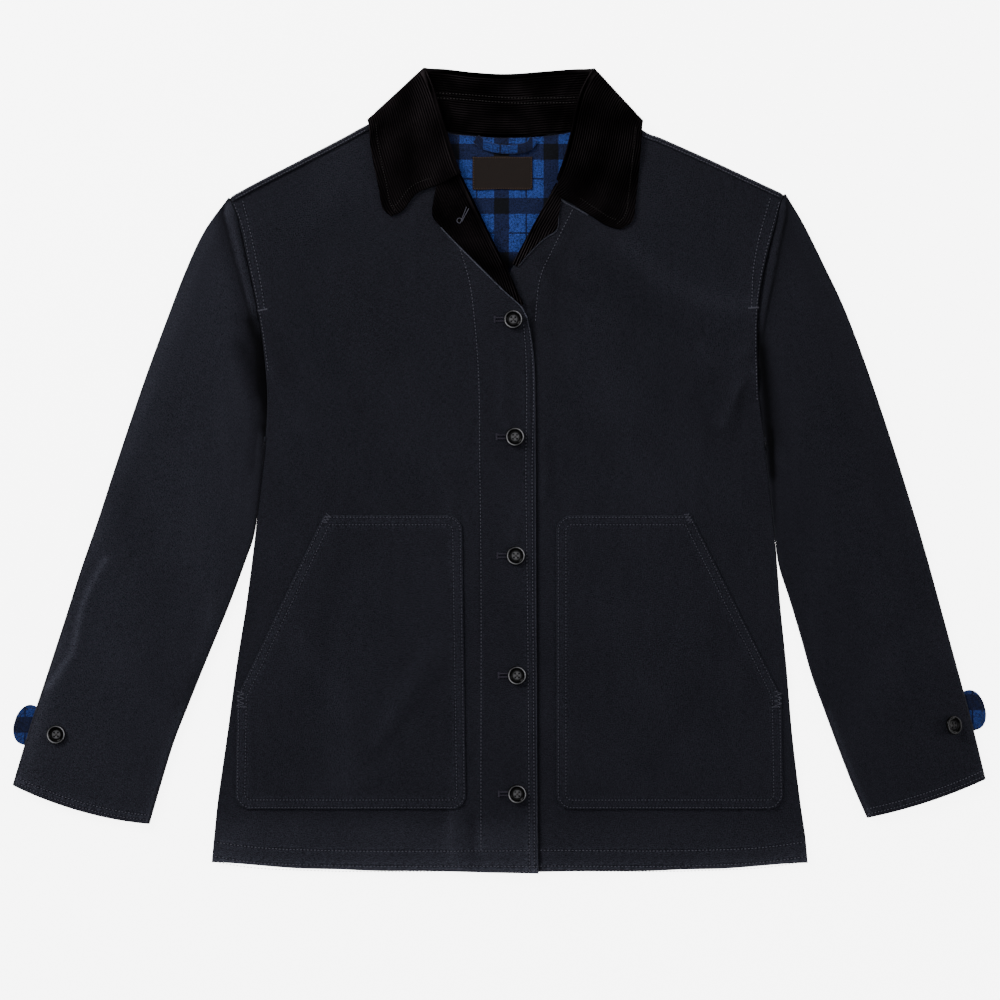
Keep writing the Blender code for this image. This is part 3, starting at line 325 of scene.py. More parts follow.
HEM_LINE = [(211.5, 862.5), (310, 871), (700, 872.5), (808, 863)]
SHUT_EDGES = [
    np.vstack([SIDE["right"][:UNDERARM + 1], [(268, 432)]]),
    np.vstack([SIDE["left"][:UNDERARM + 1], [(762, 432)]]),
    HEM_LINE, SHOULDER["right"], SHOULDER["left"],
]
FOLD_DEPTH = 2.4
BODY_FOLDS = [
    ([(546, 262), (560, 285), (590, 300)], -0.7, 8.0),
    ([(700, 350), (722, 372), (748, 352)], 0.6, 9.0),
    ([(716, 440), (700, 400), (728, 366)], -0.6, 8.0),
    ([(541, 440), (547, 468), (542, 500)], 0.5, 4.0),
    ([(556, 430), (553, 470), (560, 510)], -0.4, 5.0),
    ([(262, 330), (280, 345), (290, 380)], -0.6, 8.0),
    ([(345, 150), (330, 200), (300, 240)], 0.5, 18.0),
    ([(640, 480), (610, 400), (600, 330)], 0.5, 20.0),
    ([(752, 372), (735, 392), (722, 425)], 0.9, 6.0),
    ([(757, 395), (744, 412), (736, 440)], -0.8, 6.0),
    ([(757, 350), (748, 380), (741, 405)], -0.6, 5.0),
    ([(272, 372), (284, 400), (296, 430)], 0.5, 9.0),
    ([(625, 245), (660, 280), (700, 300), (742, 308)], 0.8, 14.0),
    ([(600, 262), (640, 310), (690, 340)], -0.6, 16.0),
    ([(578, 225), (560, 270), (556, 330), (560, 400)], -0.6, 10.0),
    ([(455, 812), (452, 840), (455, 868)], 0.8, 6.0),
    ([(474, 820), (472, 845), (474, 870)], -0.8, 6.0),
    ([(440, 470), (450, 500), (446, 530)], 0.6, 9.0),
    ([(498, 350), (505, 380), (500, 410), (508, 430)], 0.5, 5.0),
    ([(500, 470), (522, 500), (512, 540)], 0.5, 7.0),
    ([(300, 300), (340, 380), (380, 470)], -0.5, 24.0),
]
POCKET_FOLDS = [
    ([(300, 640), (335, 700), (345, 780)], 0.7, 16.0),
    ([(350, 560), (322, 640), (318, 700)], -0.6, 14.0),
    ([(436, 640), (404, 690), (380, 740)], 0.6, 10.0),
    ([(444, 676), (416, 712), (372, 765)], -0.6, 8.0),
    ([(600, 600), (640, 680), (690, 740)], 0.6, 16.0),
    ([(730, 640), (700, 700), (650, 770)], -0.6, 16.0),
]


def back_underside(xy):
    line = np.array(UNDER_COLLAR, float)
    x, y = xy[..., 0], xy[..., 1]
    over = (x >= line[0, 0]) & (x <= line[-1, 0]) & (y <= np.interp(x, line[:, 0], line[:, 1]))
    fade = 1.0 - smooth(away(xy, line)[0] / UNDER_COLLAR_FADE)
    return (CORDUROY + GAP) * np.where(over, 1.0, fade)


def puff(distance, height, reach):
    return height * np.sin(np.clip(distance / reach, 0.0, 1.0) * math.pi / 2)


def shut_distance(xy):
    return np.min([away(xy, line)[0] for line in SHUT_EDGES], axis=0)


def front_underside(side, xy):
    edge = shut_distance(xy)
    height = back_underside(xy) + CANVAS + GAP + puff(edge - SEAM_FLAT, BODY_PUFF, PUFF_REACH)
    loose = smooth((edge - 8.0) / 40.0)
    height += loose * (ripple(xy, 5, 120.0, 0.7) + ripple(xy, 6, 46.0, 0.22))
    height += FOLD_DEPTH * marks(xy, BODY_FOLDS) * smooth((edge - 2.0) / 10.0)
    height = np.maximum(height, back_underside(xy) + CANVAS + GAP)
    if side == "right":
        x, y = xy[..., 0], xy[..., 1]
        along = smooth((y - 205.0) / 60.0)
        crossing = smooth((y - 215.0) / 55.0) * (1.0 - smooth((y - 305.0) / 55.0))
        height += smooth((x - LAP_START_X) / LAP_RAMP) * (LAP_STEP * along + CROSSING_STEP * crossing)
    return height


def front_face(side, xy):
    return front_underside(side, xy) + CANVAS


def sleeve_middle(side, xy):
    """Middle of the sleeve's upper layer."""
    levels = SLEEVE[side]
    near = np.minimum(away(xy, levels[:, 0])[0], away(xy, levels[:, 1])[0])
    inside = near - SLEEVE_FOLD
    height = CANVAS / 2 + 2 * SLEEVE_FOLD + puff(inside, SLEEVE_PUFF, SLEEVE_REACH)
    calm = smooth(inside / 8.0)
    height += calm * (marks(xy, SLEEVE_FOLDS[side]) + ripple(xy, 11, 90.0, 0.35) + ripple(xy, 12, 34.0, 0.1))
    step, place = away(xy, curve(SLEEVE_STEP[side]), signed=True)
    step = -step * SIGN[side]
    head = (1.0 - smooth((place - 110.0) / 60.0)) * calm
    drop = STEP_DROP[side]
    height += head * np.where(step > 0, 0.3 * np.exp(-(step / 6.0) ** 2),
                              0.3 - (drop + 0.3) * smooth(-step / 2.6) * np.exp(-np.maximum(-step - 2, 0) / 16.0))
    armhole = away(xy, SIDE[side][UNDERARM:])[0]
    seam = smooth(armhole / 7.0)
    return height * seam + (CANVAS / 2 + 2 * SLEEVE_FOLD - 1.6) * (1.0 - seam)


# Looks

def new_look(name, colour, roughness, specular=0.08, **sockets):
    made = bpy.data.materials.new(name)
    made.use_nodes = True
    shader = made.node_tree.nodes["Principled BSDF"]
    shader.inputs["Base Color"].default_value = (*colour, 1.0)
    shader.inputs["Roughness"].default_value = roughness
    shader.inputs["Specular IOR Level"].default_value = specular
    for key, value in sockets.items():
        shader.inputs[key.replace("_", " ")].default_value = value
    return made


def node(made, kind, inputs, **settings):
    """One node; an input is a number, a colour or another node's socket."""
    n = made.node_tree.nodes.new(kind)
    for key, value in settings.items():
        setattr(n, key, value)
    for key, value in inputs.items():
        if isinstance(value, bpy.types.NodeSocket):
            made.node_tree.links.new(value, n.inputs[key])
        else:
            n.inputs[key].default_value = value
    return n


def math_node(made, operation, a, b=0.0, c=0.0):
    return node(made, "ShaderNodeMath", {0: a, 1: b, 2: c}, operation=operation).outputs[0]


def scaled(made, value, low, high, out_low, out_high):
    return node(made, "ShaderNodeMapRange", {"Value": value, "From Min": low, "From Max": high,
                                             "To Min": out_low, "To Max": out_high}).outputs[0]


def noise(made, vector, scale, detail=3.0, roughness=0.6):
    return node(made, "ShaderNodeTexNoise", {"Vector": vector, "Scale": scale, "Detail": detail,
                                             "Roughness": roughness}).outputs[0]


def mixed(made, share, a, b, blend="MIX"):
    n = node(made, "ShaderNodeMix", {}, data_type="RGBA", blend_type=blend)
    for key, value in ((0, share), (6, a), (7, b)):
        if isinstance(value, bpy.types.NodeSocket):
            made.node_tree.links.new(value, n.inputs[key])
        else:
            n.inputs[key].default_value = value
    return n.outputs[2]


def colour_times(made, colour, factor):
    return node(made, "ShaderNodeVectorMath", {0: colour, 3: factor}, operation="SCALE").outputs[0]


def finish_look(made, colour=None, height=None, bump=0.2, distance=0.0002, roughness=None):
    tree = made.node_tree
    shader = tree.nodes["Principled BSDF"]
    if colour is not None:
        tree.links.new(colour, shader.inputs["Base Color"])
    if roughness is not None:
        tree.links.new(roughness, shader.inputs["Roughness"])
    if height is not None:
        made_bump = node(made, "ShaderNodeBump", {"Strength": bump, "Distance": distance, "Height": height})
        tree.links.new(made_bump.outputs[0], shader.inputs["Normal"])
    return made


def weave_height(made, vector, pitch):
    """Plain weave: threads that cross over and under each other."""
    across = node(made, "ShaderNodeTexWave", {"Vector": vector, "Scale": math.tau / 20.0 / pitch,
                                              "Distortion": 0.6, "Detail": 1.0}, bands_direction="X").outputs[1]
    down = node(made, "ShaderNodeTexWave", {"Vector": vector, "Scale": math.tau / 20.0 / pitch,
                                            "Distortion": 0.6, "Detail": 1.0}, bands_direction="Y").outputs[1]
    return math_node(made, "MAXIMUM", across, down)


def canvas_look(name, colour, wear_and_highlight):
    """Washed cotton duck: heathered threads, slubs and cloudy fading; the tone attribute scales the colour and, where
    it is high, mixes in the pale colour, for wear and for painted light and shade.
    """
    made = new_look(name, colour, 0.95, 0.03, Sheen_Weight=0.03, Sheen_Roughness=0.5)
    uv = node(made, "ShaderNodeUVMap", {}, uv_map="cloth").outputs[0]
    tone = node(made, "ShaderNodeAttribute", {}, attribute_name="tone").outputs[2]
    warp = node(made, "ShaderNodeVectorMath", {0: uv, 1: (1500.0, 210.0, 1.0)}, operation="MULTIPLY").outputs[0]
    weft = node(made, "ShaderNodeVectorMath", {0: uv, 1: (190.0, 1400.0, 1.0)}, operation="MULTIPLY").outputs[0]
    slubs = math_node(made, "ADD", noise(made, warp, 1.0, 2.0), noise(made, weft, 1.0, 2.0))
    grain = noise(made, uv, 1000.0, 3.0, 0.7)
    clouds = noise(made, uv, 9.0, 4.0, 0.55)
    heather = math_node(made, "ADD", scaled(made, slubs, 0.6, 1.4, -0.6, 0.6),
                        scaled(made, grain, 0.25, 0.75, -1.4, 1.4))
    streaks = node(made, "ShaderNodeVectorMath", {0: uv, 1: (95.0, 22.0, 1.0)}, operation="MULTIPLY").outputs[0]
    fading = math_node(made, "ADD", scaled(made, clouds, 0.25, 0.75, 0.88, 1.12),
                       scaled(made, noise(made, streaks, 1.0, 3.0), 0.3, 0.7, -0.06, 0.06))
    factor = math_node(made, "ADD", fading, heather)
    # tone holds wear together with painted shade in grooves and hollows and painted highlights on ridges and edges
    factor = math_node(made, "MULTIPLY", factor, tone)
    # where tone is high the pale colour is mixed in: worn cloth and painted highlight alike
    wear_and_highlight_share = scaled(made, tone, 1.05, 2.6, 0.0, 0.7)
    hues = scaled(made, noise(made, uv, 600.0, 2.0), 0.35, 0.65, 0.0, 1.0)
    cool, warm = (tuple(c * s for c, s in zip(colour, tint)) for tint in ((0.88, 1.05, 0.97), (1.12, 0.95, 1.03)))
    dyed = mixed(made, hues, (*cool, 1.0), (*warm, 1.0))
    colour_out = mixed(made, wear_and_highlight_share, dyed, (*wear_and_highlight, 1.0))
    colour_out = colour_times(made, colour_out, math_node(made, "MAXIMUM", factor, 0.05))
    height = math_node(made, "ADD", weave_height(made, uv, 0.0009), slubs)
    return finish_look(made, colour_out, height, 0.55, 0.00016)


def corduroy_look():
    """Slightly brown black pile, darkest in the grooves: the tone attribute paints shade in the grooves and a
    highlight on the wales.
    """
    made = new_look("black_corduroy", (0.0022, 0.0018, 0.0019), 1.0, 0.0)
    uv = node(made, "ShaderNodeUVMap", {}, uv_map="cloth").outputs[0]
    tone = node(made, "ShaderNodeAttribute", {}, attribute_name="tone").outputs[2]
    pile = noise(made, uv, 1500.0, 2.0, 0.8)
    blotch = noise(made, uv, 45.0, 3.0)
    factor = math_node(made, "MULTIPLY", scaled(made, pile, 0.25, 0.75, 0.5, 1.5),
                       scaled(made, blotch, 0.3, 0.7, 0.7, 1.3))
    # tone: painted shade in the grooves, painted highlight on the wales
    factor = math_node(made, "MULTIPLY", factor, tone)
    colour = colour_times(made, (0.0019, 0.00155, 0.0017), factor)
    return finish_look(made, colour, pile, 0.7, 0.0003)


def plaid_look(name, origin, turn=0.0, dim=1.0):
    """Brushed flannel checks: wide dark bands both ways and thin dark lines between them."""
    made = new_look(name, (0.05, 0.12, 0.42), 0.95, 0.06, Sheen_Weight=0.12, Sheen_Roughness=0.5)
    place = node(made, "ShaderNodeTexCoord", {}).outputs["Object"]
    centre = (-(origin[0] - CENTRE_X) * MM, -(CENTRE_Y - origin[1]) * MM, 0.0)
    moved = node(made, "ShaderNodeVectorMath", {0: place, 1: centre}, operation="ADD").outputs[0]
    if turn:
        moved = node(made, "ShaderNodeMapping", {"Vector": moved, "Rotation": (0.0, 0.0, turn)}).outputs[0]
    fuzz = node(made, "ShaderNodeTexNoise", {"Vector": moved, "Scale": 900.0, "Detail": 2.0}).outputs[1]
    fuzz = node(made, "ShaderNodeVectorMath", {0: fuzz, 1: (-0.5, -0.5, -0.5)}, operation="ADD").outputs[0]
    moved = node(made, "ShaderNodeVectorMath", {0: fuzz, 1: (0.0014, 0.0014, 0.0), 2: moved},
                 operation="MULTIPLY_ADD").outputs[0]
    parts = node(made, "ShaderNodeSeparateXYZ", {0: moved})
    bands, hairlines = [], []
    for axis, period, band in ((0, 0.0495, 0.015), (1, 0.054, 0.016)):
        along = parts.outputs[axis] if axis == 0 else math_node(made, "MULTIPLY", parts.outputs[axis], -1.0)
        share = math_node(made, "FRACT", math_node(made, "DIVIDE", along, period))
        bands.append(scaled(made, share, band / period - 0.008, band / period + 0.008, 1.0, 0.0))
        middle = (1.0 + band / period) / 2
        off = math_node(made, "ABSOLUTE", math_node(made, "SUBTRACT", share, middle))
        hairlines.append(scaled(made, off, 0.010, 0.018, 1.0, 0.0))
    light, navy, black = (0.0118, 0.0270, 0.124, 1), (0.0045, 0.0074, 0.028, 1), (0.0015, 0.0019, 0.0034, 1)
    light, navy, black = (tuple(c * dim for c in shade[:3]) + (1.0,) for shade in (light, navy, black))
    hair = math_node(made, "MAXIMUM", *hairlines)
    colour = mixed(made, math_node(made, "MULTIPLY", hair, 0.85), light, black)
    colour = mixed(made, math_node(made, "MAXIMUM", *bands), colour, navy)
    colour = mixed(made, math_node(made, "MULTIPLY", *bands), colour, black)
    nap = noise(made, place, 680.0, 3.0, 0.8)
    twill = node(made, "ShaderNodeTexWave", {"Vector": place, "Scale": 300.0, "Distortion": 1.5},
                 bands_direction="DIAGONAL").outputs[1]
    tone = node(made, "ShaderNodeAttribute", {}, attribute_name="tone").outputs[2]
    factor = math_node(made, "ADD", scaled(made, nap, 0.34, 0.66, 0.05, 1.95), scaled(made, twill, 0, 1, -0.14, 0.14))
    factor = math_node(made, "MULTIPLY", factor, tone)
    colour = colour_times(made, colour, factor)
    return finish_look(made, colour, nap, 0.6, 0.0003)


def thread_look(name, colour):
    made = new_look(name, colour, 0.6, 0.25)
    place = node(made, "ShaderNodeTexCoord", {}).outputs["Object"]
    twist = noise(made, place, 3000.0, 2.0)
    shade = colour_times(made, colour, scaled(made, twist, 0.3, 0.7, 0.75, 1.25))
    return finish_look(made, shade, twist, 0.4, 0.0001)


def label_look():
    made = new_look("label_tape", (0.0120, 0.0091, 0.0080), 0.8, 0.06)
    place = node(made, "ShaderNodeTexCoord", {}).outputs["Object"]
    rows = node(made, "ShaderNodeTexWave", {"Vector": place, "Scale": 520.0, "Distortion": 0.3},
                bands_direction="Y").outputs[1]
    grain = noise(made, place, 2200.0, 2.0)
    factor = math_node(made, "ADD", scaled(made, rows, 0, 1, 0.75, 1.15), scaled(made, grain, 0.3, 0.7, -0.2, 0.2))
    return finish_look(made, colour_times(made, (0.0120, 0.0091, 0.0080), factor), rows, 0.4, 0.00015)


def button_look():
    made = new_look("polished_button", (0.0016, 0.0016, 0.0018), 0.1, 0.04)
    place = node(made, "ShaderNodeTexCoord", {}).outputs["Object"]
    tone = node(made, "ShaderNodeAttribute", {}, attribute_name="tone").outputs[2]
    cloud = noise(made, place, 260.0, 3.0)
    roughness = scaled(made, noise(made, place, 900.0, 3.0), 0.3, 0.7, 0.12, 0.24)
    # tone carries the painted reflection
    factor = math_node(made, "MULTIPLY", scaled(made, cloud, 0.3, 0.7, 0.8, 1.3), tone)
    return finish_look(made, colour_times(made, (0.0016, 0.0016, 0.0017), factor), cloud, 0.05, 0.0002, roughness)


FLOOR_GLOW = 6.0


def floor_look():
    """White sheet lit from below as well, like the table of a cut-out picture."""
    made = new_look("white_sweep", (0.9, 0.9, 0.9), 0.9, 0.1)
    place = node(made, "ShaderNodeTexCoord", {}).outputs["Object"]
    shade = scaled(made, noise(made, place, 3.0), 0.3, 0.7, 0.985, 1.0)
    shader = made.node_tree.nodes["Principled BSDF"]
    shader.inputs["Emission Color"].default_value = (1.0, 1.0, 1.0, 1.0)
    shader.inputs["Emission Strength"].default_value = FLOOR_GLOW
    return finish_look(made, colour_times(made, (0.92, 0.92, 0.92), shade))


LOOKS = {
    "canvas": canvas_look("washed_navy_canvas", (0.0079, 0.0081, 0.0114), (0.039, 0.041, 0.055)),
    "corduroy": corduroy_look(),
    "flannel": plaid_look("plaid_flannel", (494.0, 144.0)),
    "loop_flannel": plaid_look("plaid_flannel_loop", (517.5, 120.0), dim=0.62),
    "tab_flannel_right": plaid_look("plaid_flannel_tab_right", (42.0, 717.0), dim=0.6),
    "tab_flannel_left": plaid_look("plaid_flannel_tab_left", (990.0, 694.5), dim=0.6),
    "thread": thread_look("seam_thread", (0.047, 0.0465, 0.064)),
    "soft_thread": thread_look("soft_seam_thread", (0.037, 0.037, 0.052)),
    "collar_thread": thread_look("collar_thread", (0.0125, 0.0105, 0.0105)),
    "dark_thread": thread_look("dark_thread", (0.0075, 0.006, 0.0062)),
    "purple_thread": thread_look("buttonhole_thread", (0.017, 0.0145, 0.025)),
    "tan_thread": thread_look("label_thread", (0.040, 0.018, 0.010)),
    "label": label_look(),
    "button": button_look(),
}


# Building meshes

def world(points):
    p = np.asarray(points, float)
    return np.stack([(p[..., 0] - CENTRE_X), (CENTRE_Y - p[..., 1]), p[..., 2]], axis=-1) * MM


def with_height(xy, height):
    return np.concatenate([xy, np.broadcast_to(height, xy.shape[:-1])[..., None]], axis=-1)


def dress(name, mesh, look, replaces=()):
    mesh.materials.clear()
    mesh.materials.append(LOOKS[look])
    mesh.shade_smooth()
    obj = bpy.data.objects.new(name, mesh)
    bpy.context.scene.collection.objects.link(obj)
    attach(obj, "root")
    if replaces:
        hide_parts(*replaces)
    return obj


def mesh_from(name, verts, faces, uv=None, tone=None):
    mesh = bpy.data.meshes.new(name)
    mesh.from_pydata(verts.tolist(), [], faces.tolist() if hasattr(faces, "tolist") else faces)
    if uv is not None:
        corner = np.empty(len(mesh.loops), np.int32)
        mesh.loops.foreach_get("vertex_index", corner)
        layer = mesh.uv_layers.new(name="cloth")
        layer.data.foreach_set("uv", uv[corner].astype(np.float32).ravel())
    if tone is not None:
        mesh.attributes.new("tone", "FLOAT", "POINT").data.foreach_set("value", tone.astype(np.float32))
    return mesh


def normals_of(points, closed=False):
    if closed:
        padded = np.concatenate([points[:, -1:], points, points[:, :1]], axis=1)
        du = np.gradient(padded, axis=1)[:, 1:-1]
    else:
        du = np.gradient(points, axis=1)
    dv = np.gradient(points, axis=0)
    normal = np.cross(dv, du)
    return normal / np.maximum(np.linalg.norm(normal, axis=2, keepdims=True), 1e-12)


def edge_profile(count):
    """Thickness shares across a shell whose first and last three points make rounded edges."""
    profile = np.ones(count)
    profile[[0, 1, 2]] = profile[[-1, -2, -3]] = (0.0, 0.5, 0.87)
    return profile


def shell(name, middle, wall, look, uv=None, tone=None, replaces=(), relief=None, closed=False):
    """Closed cloth round a grid of middle points in board millimetres, thinning to rounded edges.

    relief moves the outer face alone, in millimetres; uv is in metres along the cloth; closed joins the
    last column to the first one, for a tube.
    """
    rows, cols = middle.shape[:2]
    place = world(middle)
    normal = normals_of(place, closed)
    across = np.ones(cols) if closed else edge_profile(cols)
    half = wall * MM / 2 * edge_profile(rows)[:, None, None] * across[None, :, None]
    lift = 0.0 if relief is None else relief[..., None] * MM * (half > 0)
    upper, lower = place + normal * (half + lift), place - normal * half
    index = np.arange(rows * cols).reshape(rows, cols)
    split = np.ones((rows, cols), bool)
    split[[0, -1]] = False
    if not closed:
        split[:, [0, -1]] = False
    under = index.copy()
    under[split] = np.arange(split.sum()) + rows * cols
    verts = np.concatenate([upper.reshape(-1, 3), lower[split]])

    def quads(grid, flip):
        if closed:
            grid = np.concatenate([grid, grid[:, :1]], axis=1)
        a, b, c, d = grid[:-1, :-1], grid[1:, :-1], grid[1:, 1:], grid[:-1, 1:]
        order = (a, d, c, b) if flip else (a, b, c, d)
        return np.stack(order, axis=-1).reshape(-1, 4)

    faces = np.concatenate([quads(index, False), quads(under, True)])
    if uv is None:
        uv = place[..., :2]
    if tone is None:
        tone = np.ones((rows, cols))
    uvs = np.concatenate([uv.reshape(-1, 2), uv[split]])
    tones = np.concatenate([tone.ravel(), tone[split]])
    return dress(name, mesh_from(name, verts, faces, uvs, tones), look, replaces)


def sweep(name, path, radius, look, sides=8, tone=1.0):
    """A thin roll along a path of board points, closed at both ends."""
    p = world(path)
    along = np.gradient(p, axis=0)
    along /= np.linalg.norm(along, axis=1, keepdims=True)
    right = np.cross(along, (0.0, 0.0, 1.0))
    right /= np.linalg.norm(right, axis=1, keepdims=True)
    up = np.cross(right, along)
    turn = np.arange(sides) * math.tau / sides
    ring = (right[:, None] * np.cos(turn)[None, :, None] + up[:, None] * np.sin(turn)[None, :, None]) * radius * MM
    verts = (p[:, None] + ring).reshape(-1, 3)
    faces = []
    for i in range(len(p) - 1):
        for j in range(sides):
            k = (j + 1) % sides
            faces.append((i * sides + j, (i + 1) * sides + j, (i + 1) * sides + k, i * sides + k))
    faces.append(tuple(range(sides)))
    faces.append(tuple((len(p) - 1) * sides + j for j in reversed(range(sides))))
    mesh = mesh_from(name, verts, faces, verts[:, :2].copy(), np.full(len(verts), tone))
    bm = bmesh.new()
    bm.from_mesh(mesh)
    bmesh.ops.recalc_face_normals(bm, faces=bm.faces)
    bm.to_mesh(mesh)
    bm.free()
    return dress(name, mesh, look)


# Stitching: one tree lays stitches along any set of seam lines

def stitch_tree():
    tree = bpy.data.node_groups.new("lay_stitches", "GeometryNodeTree")
    face = tree.interface
    face.new_socket("Geometry", in_out="INPUT", socket_type="NodeSocketGeometry")
    for name, value in (("Pitch", 0.0026), ("Length", 0.0017), ("Width", 0.0007), ("Turn", 0.0)):
        socket = face.new_socket(name, in_out="INPUT", socket_type="NodeSocketFloat")
        socket.default_value = value
    face.new_socket("Thread", in_out="INPUT", socket_type="NodeSocketMaterial")
    face.new_socket("Geometry", in_out="OUTPUT", socket_type="NodeSocketGeometry")
    new, join = tree.nodes.new, tree.links.new
    start, end = new("NodeGroupInput"), new("NodeGroupOutput")
    to_curve, resample = new("GeometryNodeMeshToCurve"), new("GeometryNodeResampleCurve")
    resample.mode = "LENGTH"
    tangent, align = new("GeometryNodeInputTangent"), new("FunctionNodeAlignRotationToVector")
    align.axis = "X"
    jitter = new("FunctionNodeRandomValue")
    jitter.inputs[2].default_value, jitter.inputs[3].default_value = -0.09, 0.09
    jitter.inputs["Seed"].default_value = 4
    add = new("ShaderNodeMath")
    about_z = new("FunctionNodeAxisAngleToRotation")
    about_z.inputs["Axis"].default_value = (0.0, 0.0, 1.0)
    rotate = new("FunctionNodeRotateRotation")
    rotate.rotation_space = "LOCAL"
    thread, size = new("GeometryNodeMeshUVSphere"), new("ShaderNodeCombineXYZ")
    thread.inputs["Segments"].default_value = 6
    thread.inputs["Rings"].default_value = 4
    thread.inputs["Radius"].default_value = 0.5
    place, real = new("GeometryNodeInstanceOnPoints"), new("GeometryNodeRealizeInstances")
    soft, paint = new("GeometryNodeSetShadeSmooth"), new("GeometryNodeSetMaterial")
    join(start.outputs["Geometry"], to_curve.inputs[0])
    join(to_curve.outputs[0], resample.inputs["Curve"])
    join(start.outputs["Pitch"], resample.inputs["Length"])
    join(resample.outputs[0], place.inputs["Points"])
    join(tangent.outputs[0], align.inputs["Vector"])
    join(start.outputs["Turn"], add.inputs[0])
    join(jitter.outputs[1], add.inputs[1])
    join(add.outputs[0], about_z.inputs["Angle"])
    join(align.outputs[0], rotate.inputs["Rotation"])
    join(about_z.outputs[0], rotate.inputs["Rotate By"])
    join(rotate.outputs[0], place.inputs["Rotation"])
    join(start.outputs["Length"], size.inputs[0])
    join(start.outputs["Width"], size.inputs[1])
    join(start.outputs["Width"], size.inputs[2])
    join(size.outputs[0], place.inputs["Scale"])
    join(thread.outputs[0], place.inputs["Instance"])
    join(place.outputs[0], real.inputs[0])
    join(real.outputs[0], soft.inputs["Geometry"])
    join(soft.outputs[0], paint.inputs["Geometry"])
    join(start.outputs["Thread"], paint.inputs["Material"])
    join(paint.outputs[0], end.inputs[0])
    return tree


STITCHES = stitch_tree()


def stitch(name, lines, look="thread", pitch=2.6, length=1.7, width=0.75, turn=0.0):
    """Stitches along seam lines given as board points with heights."""
    verts, edges = [], []
    for line in lines:
        first = len(verts)
        verts += world(line).tolist()
        edges += [(first + i, first + i + 1) for i in range(len(line) - 1)]
    mesh = bpy.data.meshes.new(name)
    mesh.from_pydata(verts, edges, [])
    seam = bpy.data.objects.new(name, mesh)
    bpy.context.scene.collection.objects.link(seam)
    laid = seam.modifiers.new("stitches", "NODES")
    laid.node_group = STITCHES
    values = {"Pitch": pitch * MM, "Length": length * MM, "Width": width * MM, "Turn": math.radians(turn),
              "Thread": LOOKS[look]}
    for item in STITCHES.interface.items_tree:
        if item.in_out == "INPUT" and item.name in values:
            laid[item.identifier] = values[item.name]
    bpy.context.view_layer.update()
    sewn = bpy.data.meshes.new_from_object(seam.evaluated_get(bpy.context.evaluated_depsgraph_get()))
    bpy.data.objects.remove(seam)
    sewn.name = name
    obj = bpy.data.objects.new(name, sewn)
    bpy.context.scene.collection.objects.link(obj)
    if not sewn.materials:
        sewn.materials.append(LOOKS[look])
    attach(obj, "root")
    return obj


def seam_line(points, surface, lift=0.2, pitch=4.0, smooth_line=True):
    """A seam row through board points, lying on a surface."""
    p = np.asarray(points, float)
    length = np.linalg.norm(np.diff(p, axis=0), axis=1).sum()
    count = max(2, int(length / pitch) + 1)
    if smooth_line and len(p) > 2:
        knots = np.concatenate([[0.0], np.cumsum(np.linalg.norm(np.diff(p, axis=0), axis=1))])
        p = spline(p, np.linspace(0, knots[-1], count), knots)
    else:
        knots = np.concatenate([[0.0], np.cumsum(np.linalg.norm(np.diff(p, axis=0), axis=1))])
        t = np.unique(np.concatenate([np.linspace(0, knots[-1], count), knots]))
        p = np.stack([np.interp(t, knots, p[:, 0]), np.interp(t, knots, p[:, 1])], axis=1)
    return with_height(p, surface(p) + lift)


# Rows of stitching and the relief that they pull into the cloth

POCKET_ROW_INSETS = (1.7, 9.2)
FRONT_ROWS = {
    "right": [
        [(460, 248), (469, 280), (475, 325), (477, 348), (480, 480), (481, 849)],
        [(523.7, 326), (525.2, 345), (525.8, 480), (527.4, 600), (529.4, 870)],
        [(529.0, 329), (531.0, 345), (532.0, 480), (532.7, 600), (533.4, 700), (534.4, 870)],
    ],
    "left": [[(572, 211), (551, 253), (542, 272), (536.5, 304), (535.5, 320)]],
}
HEM_ROWS = {
    "right": [[(214, 842), (260, 847.5), (320, 850), (480, 850.5), (528, 850)],
              [(212.5, 856), (250, 862), (310, 865), (480, 866), (537, 866)],
              [(213, 861.5), (250, 867.3), (310, 870.3), (480, 871.2), (537, 871)]],
    "left": [[(541, 850), (700, 850), (760, 847.5), (804.5, 842)],
             [(541, 866), (700, 865.5), (765, 862), (805.5, 856.5)],
             [(541, 871), (700, 870.5), (765, 867.3), (806.5, 861.5)]],
}
ARMHOLE_ROWS = {
    "right": [[(234.5, 205), (241, 221), (249.8, 262), (259.2, 308.6), (265.6, 349), (268.4, 370)],
              [(243, 202), (254, 247), (263.5, 300), (264.5, 308)]],
    "left": [[(779, 203), (774, 221), (763.2, 262), (756.2, 308), (755.5, 351), (757, 399)],
             [(770, 199), (760, 233), (753.4, 266), (751, 307)]],
}
ARMHOLE_BARS = {"right": [(258.5, 310.5), (267, 309)], "left": [(748.5, 308), (758, 307.5)]}
FRONT_EDGE_ROLL = {
    "right": [(457.5, 184.5), (470, 206), (484.2, 231), (509, 281), (527, 318), (534.5, 365), (535.5, 410),
              (536, 465), (536.5, 600), (537, 670), (537.5, 806), (538.2, 872)],
    "left": [(560.5, 189), (548, 205), (525.3, 247), (508, 275)],
}
BODY_PITCH = 2.8


# Zigzag tacks at both ends of each hand opening: start, end and half width
POCKET_TACKS = {
    "right": [((241.0, 691.0), (241.0, 705.5), 3.4), ((240.0, 706.5), (246.5, 706.5), 0.6),
              ((329.0, 514.5), (325.0, 523.0), 2.4)],
    "left": [((778.0, 691.0), (778.0, 705.5), 3.4), ((772.5, 706.5), (779.0, 706.5), 0.6),
             ((686.0, 513.5), (690.0, 522.0), 2.4)],
}


def zigzag(start, end, half, turns=7):
    """Board points that swing from side to side between two ends."""
    line = between(start, end, np.linspace(0.0, 1.0, turns))
    along = line[-1] - line[0]
    side = np.array((-along[1], along[0])) / np.linalg.norm(along)
    swing = half * (-1.0) ** np.arange(turns)
    return line + side * swing[:, None]


